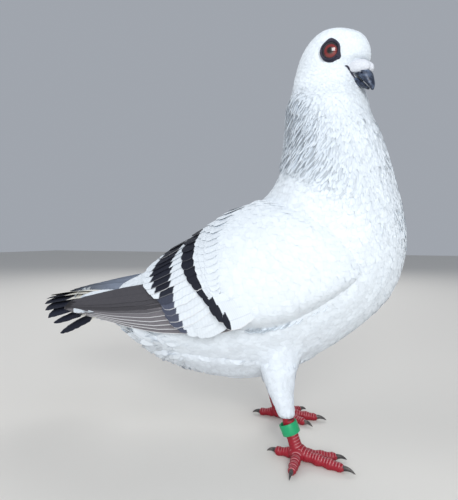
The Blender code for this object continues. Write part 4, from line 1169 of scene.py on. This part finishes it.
def wingCoverts(side):
    arm = wingArm(side)

    def lie(points, normals):
        spots = onWing(np.stack([points[:, 0] - stanceX, points[:, 2]], axis=1))
        back = wingSection(spots[:, 0] - 0.02, spots[:, 1]) - wingSection(spots[:, 0] + 0.02, spots[:, 1])
        back = unit(mirroredFor(side, back)) - 0.12 * upright
        back = unit(back - normals * (back * normals).sum(axis=1, keepdims=True))
        return spots[:, 0], back, spots[:, 1]

    def keep(places, normals):
        x, z = places[:, 0] - stanceX, places[:, 2]
        out = normals[:, 1] * (-1 if side == "right" else 1)
        rear = np.interp(z, *armCoat["rear"])
        return ((out > 0.0) & (x > rear + armCoat["gap"])).astype(float)

    def spacing(places):
        front, more = armCoat["spacing"]
        return front + more * smoothstep(0.03, -0.03, places[:, 0] - stanceX)

    def size(station, angle, roots):
        room = spacing(roots)
        lift, strand = (np.full(len(roots), armCoat[name]) for name in ("lift", "strand"))
        return room * armCoat["length"], room * armCoat["width"], lift, strand

    def tintOf(station, angle, roots, draw, shares):
        base = np.array(plumage["white"]) * draw.uniform(0.95, 1.03, len(station))[:, None]
        return np.clip(np.repeat(base[:, None], len(shares), axis=1), 0, 1)[:, :, None]

    def unwrap(station, angle, roots):
        return onMap(station / (len(wingRows) - 1), angle / math.pi)

    look = {
        "seed": 51 if side == "right" else 52, "spacing": spacing, "size": size, "stray": 5.0, "sink": 0.0006,
        "roll": 0.02, "thick": 0.00012, "camber": 0.04, "bow": 0.04, "slot": "plumage_wing",
    }
    made = bodyCoat("coat_wing_" + side, arm, keep, look, tintOf, coatFinish, lie=lie, unwrap=unwrap)
    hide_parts("wing_" + side)


tailLook = {
    "root": (-0.1180, 0.0120, 0.0800, 0.0060),
    "tip": (-0.1850, 0.0290, 0.0750, 0.0190),
    "rounding": 0.036,
    "width": 0.0078,
    "band": 0.025,  # of black at the feathers' ends
    "count": 12,
    "pitch": 7.0,  # degrees that the outer edges hang
    "bow": 0.003,
    "coverts": ((9, 0.038, 0.0075), (7, 0.026, 0.0070)),  # rows above and below: count, reach and width
    "covertRoots": (-0.1130, 0.0125, 0.0008),  # behind, aside, and each row's rise
    "covertSplay": 0.0080,
    # above, then below: height, rise aside, inset, less reach in the middle and aside, drop, share of roll
    "faces": (
        (0.0870, -0.0075, 0.0035, 0.0, 0.006, -0.0040, 1.0),
        (0.0595, 0.0030, -0.0035, 0.010, 0.004, 0.0045, -0.4),
    ),
}


def tailQuill(path, outward, rolls, **looks):
    ways = np.stack([np.zeros(len(rolls)), outward * np.cos(rolls), -np.sin(rolls)], axis=1)
    ahead = unit(np.gradient(path, axis=0))
    out = unit(np.cross(ahead, ways))
    out = out * np.sign(out[:, 2:3])
    base = {
        "path": inFrame(path), "out": out, "down": ways[len(rolls) // 2], "lean": 0.0, "widths": (0.008, 0.008),
        "kind": "blunt", "ragged": 0.06, "thick": 0.00022, "camber": 0.0003, "tint": plumage["creamPaintedLight"],
    }
    base.update(looks)
    return base


def tailFeathers():
    draw = np.random.default_rng(61)
    feathers = []
    rootX, rootY, rootZ, rootDrop = tailLook["root"]
    tipX, tipY, tipZ, tipDrop = tailLook["tip"]
    part = quillShares
    middle = (tailLook["count"] - 1) / 2
    for index in range(tailLook["count"]):
        share = (index - middle) / middle
        side = abs(share)
        root = np.array([rootX, rootY * share, rootZ - rootDrop * side**2])
        tip = np.array([tipX + tailLook["rounding"] * side**1.8, tipY * share, tipZ - tipDrop * side**1.6])
        slope = math.atan(1.6 * tipDrop * side**0.6 / tipY)
        rolls = slope * (0.5 + 0.5 * part) - math.radians(tailLook["pitch"])
        bow = tailLook["bow"] * np.sin(np.pi * part) * (1 - side)
        path = root + (tip - root) * part[:, None]
        path[:, 2] += bow + (0.0010 if 0 < share < 0.2 else 0.0)
        length = float(np.linalg.norm(tip - root))
        # the tail feathers' cream is white with painted warm light
        feathers.append(tailQuill(
            path, 1.0 if share > 0 else -1.0, rolls, widths=(tailLook["width"], tailLook["width"] * 0.9),
            mark=np.array(plumage["black"]) * draw.uniform(0.9, 1.5),
            span=(1 - tailLook["band"] / length + draw.normal(0, 0.015), 3.0, 0.0),
            kind="blunt" if side < 0.8 else "pointed", ragged=0.05 + 0.12 * side,
            tint=np.array(plumage["creamPaintedLight"]) * draw.uniform(0.94, 1.0),
        ))
    behind, aside, raised = tailLook["covertRoots"]
    for row, (count, reach, wide) in enumerate(tailLook["coverts"]):
        for height, rise, inset, less, rounded, drop, turned in tailLook["faces"]:
            for index in range(count):
                share = 2 * index / (count - 1) - 1
                start = np.array([behind, aside * share, height + rise * share**2 - inset + raised * row])
                away = reach - (less + rounded * abs(share))
                end = start + np.array([-away, tailLook["covertSplay"] * share, drop])
                rolls = np.full(len(part), math.atan(share * 0.55) * turned)
                path = start + (end - start) * part[:, None]
                feathers.append(tailQuill(
                    path, 1.0, rolls, widths=(wide, wide), kind="round", ragged=0.14,
                    tint=np.array(plumage["white"]) * draw.uniform(0.93, 1.0),
                ))
    quills("tailFeathers", "right", feathers, quillWeb, "tail", 62)


print("scene: wings and tail")
quillWeb = quillFinish()
for wingSide in ("right", "left"):
    wingCoverts(wingSide)
    wingRowsOf(wingSide)
    primaries(wingSide)
tailFeathers()

# Face

def hornFinish(name, dark, light):
    made, tree, shader = nodesOf(name, {"Roughness": 0.42, "Specular IOR Level": 0.45})
    place = placeOf(tree)
    patches = noiseOf(tree, place, 320.0, detail=4.0)
    scratch = scaled(tree, noiseOf(tree, place, 2200.0, detail=2.0), 0.4)
    colour = mixColour(tree, scaled(tree, eased(tree, patches, 0.42, 4.0), 0.8), dark, light)
    dressed(tree, shader, colour, calc(tree, "ADD", patches, scratch), 0.3, 0.00015)
    return made


def eyeFinish():
    made, tree, shader = nodesOf("eye", {"Roughness": 0.25, "Coat Weight": 1.0, "Coat Roughness": 0.03})
    spot = addNode(tree, "ShaderNodeUVMap", uv_map="Gaze").outputs["UV"]
    length = addNode(tree, "ShaderNodeVectorMath", operation="LENGTH")
    tree.links.new(spot, length.inputs[0])
    grain = noiseOf(tree, spot, 1500.0, detail=4.0)
    reach = calc(tree, "ADD", scaled(tree, length.outputs["Value"], 100.0), scaled(tree, grain, 0.06))
    ramp = addNode(tree, "ShaderNodeValToRGB")
    tree.links.new(reach, ramp.inputs[0])
    stops = (
        (0.0, (0.002, 0.002, 0.002)), (0.165, (0.003, 0.002, 0.002)), (0.19, (0.045, 0.006, 0.004)),
        (0.24, (0.15, 0.008, 0.007)), (0.33, (0.19, 0.009, 0.008)), (0.37, (0.08, 0.005, 0.006)),
        (0.40, (0.006, 0.003, 0.005)),
    )
    points = ramp.color_ramp.elements
    while len(points) < len(stops):
        points.new(0.5)
    for point, (place, colour) in zip(points, stops):
        point.position = place
        point.color = (*colour, 1.0)
    dressed(tree, shader, ramp.outputs[0])
    return made


def eyes():
    finish = eyeFinish()
    gazeAhead, gazeUp = eyeLook["gaze"]
    for side in ("left", "right"):
        place, axis, front = eyeFrame(side)
        middle = place - axis * eyeLook["sink"]
        shape = bmesh.new()
        aim = Matrix((front, upright, axis)).transposed().to_4x4()
        bmesh.ops.create_uvsphere(
            shape, u_segments=72, v_segments=48, radius=eyeLook["radius"],
            matrix=Matrix.Translation(Vector(middle)) @ aim,
        )
        made = fromBmesh("eyeball_" + side, shape, finish)
        layer = made.data.uv_layers.new(name="Gaze")
        for corner in made.data.loops:
            off = np.array(made.data.vertices[corner.vertex_index].co) - middle
            flat = (0.02, 0.02)  # past the iris, for the eyeball's rear half
            if off @ axis > 0:
                flat = (float(off @ front) - gazeAhead, float(off @ upright) - gazeUp)
            layer.data[corner.index].uv = flat
        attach(made, "root")
        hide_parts("eye_" + side)


def lidReach(turn):
    oval = 1 / math.hypot(math.cos(turn) / eyeLook["halfWidth"], math.sin(turn) / eyeLook["halfHeight"])
    for width, place, spread in eyeLook["corners"]:
        oval += width * math.exp(-(((turn - math.pi * place) / spread) ** 2))
    return oval


def bareSkinFinish():
    made, tree, shader = nodesOf("bare skin", {"Roughness": 0.75, "Specular IOR Level": 0.2})
    place = placeOf(tree)
    fine = noiseOf(tree, place, 1300.0, detail=4.0)
    broad = noiseOf(tree, place, 350.0)
    colour = mixColour(tree, broad, (0.012, 0.013, 0.024), (0.070, 0.066, 0.098))
    dressed(tree, shader, colour, fine, 0.5, 0.0002)
    return made


lidSection = (
    (0.0, -0.0012), (0.0, 0.0002), (0.0001, 0.0007), (0.0004, 0.0011), (0.0009, 0.0012), (0.0013, 0.0009),
    (-0.0011, 0.0009), (-0.0007, 0.0008), (-0.0003, 0.0005), (0.0, 0.0001), (0.0002, -0.0012),
)  # from the opening outward, the last five told from the outer edge: across, out


def eyelids():
    finish = bareSkinFinish()
    for side in ("left", "right"):
        place, axis, front = eyeFrame(side)
        rings = []
        for step in range(eyeLook["steps"]):
            turn = 2 * math.pi * step / eyeLook["steps"]
            way = front * math.cos(turn) + upright * math.sin(turn)
            reach = lidReach(turn)
            crease = 0.00014 * math.sin(turn * 30) + 0.00010 * math.sin(turn * 47 + 1.0)
            ring = []
            for index, (across, lift) in enumerate(lidSection):
                out = (eyeLook["opening"] if index < 6 else reach) + across
                bowed = lift - out**2 / eyeLook["bow"] + (crease if 3 < index < 9 else 0.0)
                ring.append(Vector(place + way * out + axis * bowed))
            rings.append(ring)
        shape = bmesh.new()
        last = sweep(shape, rings, close=False)
        shape.verts.ensure_lookup_table()
        first = shape.verts[:len(lidSection)]
        shape.faces.remove(shape.faces.get(first))
        for index in range(len(first)):
            beside = (index + 1) % len(first)
            shape.faces.new((last[index], last[beside], first[beside], first[index]))
        made = fromBmesh("lids_" + side, shape, finish)
        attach(made, "root")
        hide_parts("eyelids_" + side)


# Beak sections: top (ahead, height), bottom (ahead, height), half width, from inside the head outward
beakRows = {
    "upper": np.array([
        (0.0181, 0.2166, 0.0134, 0.2150, 0.0054), (0.0231, 0.2132, 0.0169, 0.2112, 0.0050),
        (0.0266, 0.2097, 0.0199, 0.2080, 0.0046), (0.0279, 0.2061, 0.0226, 0.2051, 0.0037),
        (0.0285, 0.2026, 0.0252, 0.2022, 0.0026), (0.0282, 0.1998, 0.0271, 0.1994, 0.0009),
    ]),
    "lower": np.array([
        (0.0137, 0.2142, 0.0112, 0.2108, 0.0046), (0.0169, 0.2107, 0.0146, 0.2076, 0.0044),
        (0.0199, 0.2076, 0.0180, 0.2048, 0.0038), (0.0226, 0.2047, 0.0212, 0.2024, 0.0030),
        (0.0252, 0.2018, 0.0245, 0.2004, 0.0017),
    ]),
}


beakLook = {
    "rings": 48,
    "sides": 40,
    "edgeHeight": 0.86,  # the cut edge of each half is flatter than its back, and fuller
    "edgeFullness": 0.7,
    "slit": ((0.0231, 0.0046, 0.2093), (0.0026, 0.0008, 0.0006)),  # of the nostril: place and radii
}


def beak():
    finish = hornFinish("beak horn", (0.014, 0.020, 0.040), (0.15, 0.20, 0.30))
    for name, rows in beakRows.items():
        shape = bmesh.new()
        rings = []
        edge = -1.0 if name == "upper" else 1.0
        for place in np.linspace(0, len(rows) - 1, beakLook["rings"]):
            topX, topZ, lowX, lowZ, half = smoothRow(rows, place)
            middle = np.array([(topX + lowX) / 2, 0.0, (topZ + lowZ) / 2])
            up = np.array([(topX - lowX) / 2, 0.0, (topZ - lowZ) / 2])
            ring = []
            for step in range(beakLook["sides"]):
                turn = 2 * math.pi * step / beakLook["sides"]
                high, wide = math.cos(turn), math.sin(turn)
                if high * edge > 0:
                    high *= beakLook["edgeHeight"]
                    wide = math.copysign(abs(wide) ** beakLook["edgeFullness"], wide)
                ring.append(Vector(headPlace(*(middle + up * high + np.array([0.0, half * wide, 0.0])))))
            rings.append(ring)
        sweep(shape, rings)
        made = fromBmesh("beakHorn_" + name, shape, finish)
        if name == "upper":
            (ahead, aside, height), radii = beakLook["slit"]
            for way in (-1.0, 1.0):
                slit = bmesh.new()
                ball(slit, headAim(ahead, aside * way, height), radii, 24, 16)
                cutter = fromBmesh("slit", slit, None)
                cut = made.modifiers.new("slit", "BOOLEAN")
                cut.operation = "DIFFERENCE"
                cut.solver = "EXACT"
                cut.object = cutter
                applied(made)
                bpy.data.objects.remove(cutter)
        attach(made, "root")
        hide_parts("beak_" + name)


def headAim(ahead, aside, height, slope=44.0, outward=0.0):
    # the place and turn of a shape on the beak: its x ahead, turned aside and then down
    yaw = Matrix.Rotation(math.radians(-headTurn - outward), 4, "Z")
    turn = yaw @ Matrix.Rotation(math.radians(slope), 4, "Y")
    return Matrix.Translation(Vector(headPlace(ahead, aside, height))) @ turn


cereLook = {
    # swellings of each lobe: ahead, aside, height, half length, width and thickness, how far its rear turns out
    "swellings": (
        (0.0219, 0.0036, 0.2130, 0.0057, 0.0027, 0.0033, 28.0),
        (0.0231, 0.0024, 0.2128, 0.0036, 0.0027, 0.0034, 24.0),
        (0.0192, 0.0050, 0.2127, 0.0031, 0.0021, 0.0025, 34.0),
    ),
    "slope": 8.0,
    "voxel": 0.00022,
    "smoothing": 16,
    "grain": 0.00012,
}


def cere():
    shape = bmesh.new()
    for ahead, aside, height, long, wide, thick, outward in cereLook["swellings"]:
        for way in (-1.0, 1.0):
            aim = headAim(ahead, aside * way, height, cereLook["slope"], outward * way)
            ball(shape, aim, (long, wide, thick), 40, 28)
    made, tree, shader = nodesOf("cere", {"Roughness": 0.9})
    place = placeOf(tree)
    fine = noiseOf(tree, place, 1500.0, detail=5.0)
    colour = mixColour(tree, fine, (0.50, 0.53, 0.60), (0.78, 0.81, 0.85))
    dressed(tree, shader, colour, fine, 0.6, 0.0003)
    piece = fromBmesh("wattle", shape, made)
    shape = melted(piece, cereLook)
    for point in shape.verts:
        grain = noise.noise(point.co * 900) + 0.5 * noise.noise(point.co * 2200)
        point.co += point.normal * (cereLook["grain"] * grain + 0.00025)
    closed(piece, shape, made)
    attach(piece, "root")
    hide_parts("cere")


gapeLook = {
    # along the crease, from under the cere down the beak's root: ahead, aside, height, radius
    "points": (
        (0.0163, 0.0088, 0.2136, 0.00020), (0.0171, 0.0079, 0.2130, 0.00055), (0.0177, 0.0070, 0.2118, 0.00055),
        (0.0183, 0.0060, 0.2103, 0.00045), (0.0190, 0.0050, 0.2089, 0.00050), (0.0199, 0.0038, 0.2073, 0.00030),
    ),
    "sides": 10,
}


def gape():
    finish = bareSkinFinish()
    for side, way in (("left", 1.0), ("right", -1.0)):
        rows = along(np.array(gapeLook["points"]), np.linspace(0, 1, 30))
        middles = []
        for ahead, aside, height in rows[:, :3]:
            spot, normal = skinTree.find_nearest(Vector(headPlace(ahead, aside * way, height)))[:2]
            middles.append(np.array(spot) + np.array(normal) * 0.00085)
        wave = 1 + 0.30 * np.sin(np.linspace(0, 19, len(rows)))
        shape = bmesh.new()
        widths = np.stack([rows[:, 3] * wave, rows[:, 3] * 0.8], axis=1)
        tube(shape, np.array(middles), widths, gapeLook["sides"])
        made = fromBmesh("gape_" + side, shape, finish)
        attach(made, "root")


print("scene: face")
eyes()
eyelids()
beak()
cere()
gape()

# Feet

footLook = {
    "x": {"right": 0.0123, "left": -0.0123},
    "y": 0.0252,
    "ball": 0.0052,  # height of the middle of the foot
    "ballRadii": (0.0054, 0.0050, 0.0044),
    "heading": {"right": 10.0, "left": -8.0},  # degrees to the right of straight ahead
    # degrees outward of the foot's heading, length, radius at the root, radius at the end, claw
    "toes": {
        "inner": (-28.0, 0.0210, 0.0033, 0.0025, 0.0050),
        "middle": (0.0, 0.0255, 0.0035, 0.0026, 0.0055),
        "outer": (42.0, 0.0180, 0.0033, 0.0024, 0.0048),
        "hind": (176.0, 0.0135, 0.0031, 0.0024, 0.0048),
    },
    "spread": {"right": 36.0, "left": 0.0},  # further spread of the outer toe
    "shankTop": (-0.0062, 0.0, 0.0202),
    "shank": 0.0032,
    "pads": {"inner": 3, "middle": 4, "outer": 4, "hind": 2},
    "voxel": 0.00027,
    "smoothing": 4,
    "scute": 0.00155,  # from one scute to the next
    "relief": 0.00030,
    # of scutes, their rims and grooves
    "tints": ((0.30, 0.008, 0.020), (0.78, 0.36, 0.38), (0.07, 0.002, 0.008)),
}


def footFinish():
    made, tree, shader = nodesOf("foot scales", {"Roughness": 0.5, "Specular IOR Level": 0.4})
    place = placeOf(tree)
    tint = valueOf(tree, "Tint")
    cells = addNode(tree, "ShaderNodeTexVoronoi")
    cells.inputs["Scale"].default_value = 1100.0
    tree.links.new(place, cells.inputs["Vector"])
    tone = noiseOf(tree, place, 420.0, detail=4.0)
    colour = mixColour(tree, scaled(tree, tone, 0.40), tint, (0.20, 0.006, 0.020))
    dressed(tree, shader, colour, calc(tree, "SUBTRACT", 1.0, cells.outputs["Distance"]), 0.45, 0.0002)
    return made


def footSide(side, finish, horn):
    outward = 1.0 if side == "left" else -1.0
    ground = inFrame((footLook["x"][side], outward * footLook["y"], 0.0))
    centre = ground + footLook["ball"] * upright
    top = ground + np.array(footLook["shankTop"])
    base = footLook["heading"][side] * (1 if side == "right" else -1)
    thin = footLook["shank"]
    shape = bmesh.new()
    steps = np.linspace(0, 1, 12)
    shankRow = np.array([
        (*(top + 0.004 * upright), thin, thin), (*(top + (centre - top) * 0.5), thin, thin * 1.05),
        (*(centre + np.array([-0.0010, 0.0, 0.0016])), 0.0036, 0.0034), (*centre, 0.0038, 0.0038),
    ])
    rows = along(shankRow, steps)
    tube(shape, rows[:, :3], rows[:, 3:], 24, top=(1.0, 0.0, 0.0))
    ball(shape, Matrix.Translation(Vector(centre - 0.0010 * upright)), footLook["ballRadii"])
    axes = [("shank", top, centre, thin)]
    for toe, (spread, length, thick, end, claw) in footLook["toes"].items():
        spread += footLook["spread"][side] if toe == "outer" else 0.0
        turn = math.radians(base + spread)
        way = np.array([math.cos(turn), outward * math.sin(turn), 0.0])
        share = np.linspace(0, 1, 40)
        even = thick + (end - thick) * share
        pads = footLook["pads"][toe]
        swell = 0.93 + 0.09 * np.cos(2 * math.pi * (share * pads - 0.75))
        swell -= 0.55 * np.clip((share - 0.84) / 0.16, 0, 1) ** 2
        height = 0.80 * even + 0.0012 * (1 - share) ** 2
        middles = ground + way * (length * share)[:, None] + upright * height[:, None]
        tube(shape, middles, np.stack([even * swell * 0.96, even * swell], axis=1), 24)
        axes.append((toe, middles[0], middles[-1], thick))
        clawPiece(side, toe, middles[-1], way, claw, horn)
    piece = fromBmesh("footSkin_" + side, shape, finish)
    shape = melted(piece, footLook)
    points = np.array([point.co[:] for point in shape.verts])
    normals = np.array([point.normal[:] for point in shape.verts])
    nearest = np.full(len(points), np.inf)
    stretch, topness = np.zeros(len(points)), np.zeros(len(points))
    for toe, start, end, thick in axes:
        line = end - start
        whole = np.linalg.norm(line)
        share = np.clip((points - start) @ line / whole**2, 0, 1)
        gap = np.linalg.norm(points - start - line * share[:, None], axis=1) / thick
        facing = normals[:, 0] * 0.95 + 0.2 if toe == "shank" else normals[:, 2]
        chosen = gap < nearest
        nearest[chosen] = gap[chosen]
        stretch[chosen] = (share * whole)[chosen]
        topness[chosen] = facing[chosen]
    scute = (stretch / footLook["scute"]) % 1.0
    upper = smoothstep(0.15, 0.60, topness)
    ramp = 0.55 * scute**0.7 - 1.0 * smoothstep(0.12, 0.0, scute)
    under = smoothstep(0.0, -0.6, topness)
    rough = np.array([noise.noise(Vector(point) * 1300) for point in points])
    lift = footLook["relief"] * (upper * (ramp - 0.5) + 0.5 * (1 - upper) * rough * (1 + under))
    for point, move in zip(shape.verts, lift):
        point.co += point.normal * float(move)
        point.co.z = max(point.co.z, 0.0)
    closed(piece, shape, finish)
    rim = (upper * smoothstep(0.66, 0.92, scute) * 0.75)[:, None]
    groove = (upper * smoothstep(0.13, 0.02, scute))[:, None]
    red, edge, dark = (np.array(tint) for tint in footLook["tints"])
    paint(piece.data, blend(blend(red, edge, rim), dark, groove))
    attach(piece, "root")
    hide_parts("foot_" + side)
    print(f"foot_{side}: {len(piece.data.polygons)} faces")


clawLook = {"sunk": 0.0012, "thick": 0.00140, "point": 0.00008}  # in the toe; half widths at root and tip


def clawPiece(side, toe, end, way, length, horn):
    shape = bmesh.new()
    share = np.linspace(0, 1, 22)
    rise = 0.0009 * np.sin(share * 2.0) - 0.0021 * share**2
    sunk = clawLook["sunk"]
    middles = end + way * (-sunk + (length + sunk) * share)[:, None] + upright * rise[:, None]
    wide = clawLook["thick"] * (1 - share) ** 0.75 + clawLook["point"]
    tube(shape, middles, np.stack([wide * 0.85, wide * 1.1], axis=1), 18)
    for point in shape.verts:
        point.co.z = max(point.co.z, 0.0)
    made = fromBmesh(f"horn_{side}_{toe}", shape, horn)
    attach(made, "root")
    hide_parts(f"claw_{side}_{toe}")


bandLook = {"inner": 0.0041, "outer": 0.0050, "height": 0.0060, "lift": 0.0010, "round": 0.00025}


def legBand():
    ground = inFrame((footLook["x"]["right"], -footLook["y"], 0.0))
    top = Vector(ground + np.array(footLook["shankTop"]))
    down = Vector(ground + footLook["ball"] * upright) - top
    down.normalize()
    half = bandLook["height"] / 2
    centre = top + down * (bandLook["lift"] + half)
    shape = bmesh.new()
    corners = (("inner", -half), ("outer", -half), ("outer", half), ("inner", half))
    points = [shape.verts.new((bandLook[radius], 0.0, height)) for radius, height in corners]
    shape.faces.new(points)
    bmesh.ops.bevel(
        shape, geom=points, offset=bandLook["round"], segments=4, profile=0.5, affect="VERTICES", material=-1,
    )
    edges = list(shape.edges)
    bmesh.ops.delete(shape, geom=list(shape.faces), context="FACES_ONLY")
    bmesh.ops.spin(
        shape, geom=edges + list(shape.verts), cent=(0, 0, 0), axis=(0, 0, 1), angle=2 * math.pi, steps=96,
        use_merge=True,
    )
    bmesh.ops.remove_doubles(shape, verts=shape.verts, dist=0.000002)
    aim = down.to_track_quat("Z", "Y").to_matrix().to_4x4()
    bmesh.ops.transform(shape, matrix=Matrix.Translation(centre) @ aim, verts=shape.verts)
    finish, tree, shader = nodesOf("band", {"Roughness": 0.38})
    wear = noiseOf(tree, placeOf(tree), 900.0, detail=4.0)
    colour = mixColour(tree, scaled(tree, wear, 0.35), (0.006, 0.30, 0.115), (0.02, 0.42, 0.20))
    dressed(tree, shader, colour)
    made = fromBmesh("ring", shape, finish)
    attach(made, "root")
    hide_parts("leg_band")


print("scene: feet")
clawHorn = hornFinish("claw horn", (0.035, 0.032, 0.034), (0.16, 0.14, 0.13))
scales = footFinish()
for footOf in ("right", "left"):
    footSide(footOf, scales, clawHorn)
legBand()

print("scene: stage")

stageLook = {
    "floor": {"Base Color": (0.72, 0.70, 0.66, 1.0), "Roughness": 0.9},
    "sky": ((0.84, 0.90, 1.0), 0.42),  # colour and strength
    # name, place, width in metres, power in watts
    "lamps": (
        ("key", (0.38, -0.78, 0.40), 0.45, 6.4),
        ("fill", (-0.95, -0.45, 0.75), 0.9, 3.6),
        ("rim", (-0.3, 0.9, 0.8), 0.6, 5.0),
    ),
    "aim": (0.0, 0.0, 0.11),
}


def stage():
    floor = bmesh.new()
    bmesh.ops.create_grid(floor, x_segments=1, y_segments=1, size=3.0)
    ground = fromBmesh("floor", floor, nodesOf("pale floor", stageLook["floor"])[0])
    world = bpy.data.worlds.new("studio")
    bpy.context.scene.world = world
    world.use_nodes = True
    sky = world.node_tree.nodes["Background"]
    plugged(world.node_tree, sky.inputs, stageLook["sky"])
    bpy.context.scene.view_settings.view_transform = "Standard"
    for name, place, size, power in stageLook["lamps"]:
        light = bpy.data.lights.new(name, "AREA")
        light.size = size
        light.energy = power
        lamp = bpy.data.objects.new(name, light)
        lamp.location = place
        lamp.visible_glossy = name != "fill"
        lamp.rotation_mode = "QUATERNION"
        lamp.rotation_quaternion = (Vector(stageLook["aim"]) - Vector(place)).to_track_quat("-Z", "Y")
        bpy.context.scene.collection.objects.link(lamp)


cameraLook = {
    "place": (0.12329, -0.2553, 0.120),
    "heading": 22.0,  # degrees left of straight across the bird
    "lens": 30.96,
    "shift": -0.024,
}


def camera():
    lens = bpy.data.cameras.new("camera")
    lens.lens = cameraLook["lens"]
    lens.sensor_width = 36.0
    lens.shift_y = cameraLook["shift"]
    lens.clip_start = 0.01
    eye = bpy.data.objects.new("camera", lens)
    eye.location = cameraLook["place"]
    eye.rotation_euler = (math.radians(90), 0.0, math.radians(cameraLook["heading"]))
    bpy.context.scene.collection.objects.link(eye)
    bpy.context.scene.camera = eye


stage()
camera()
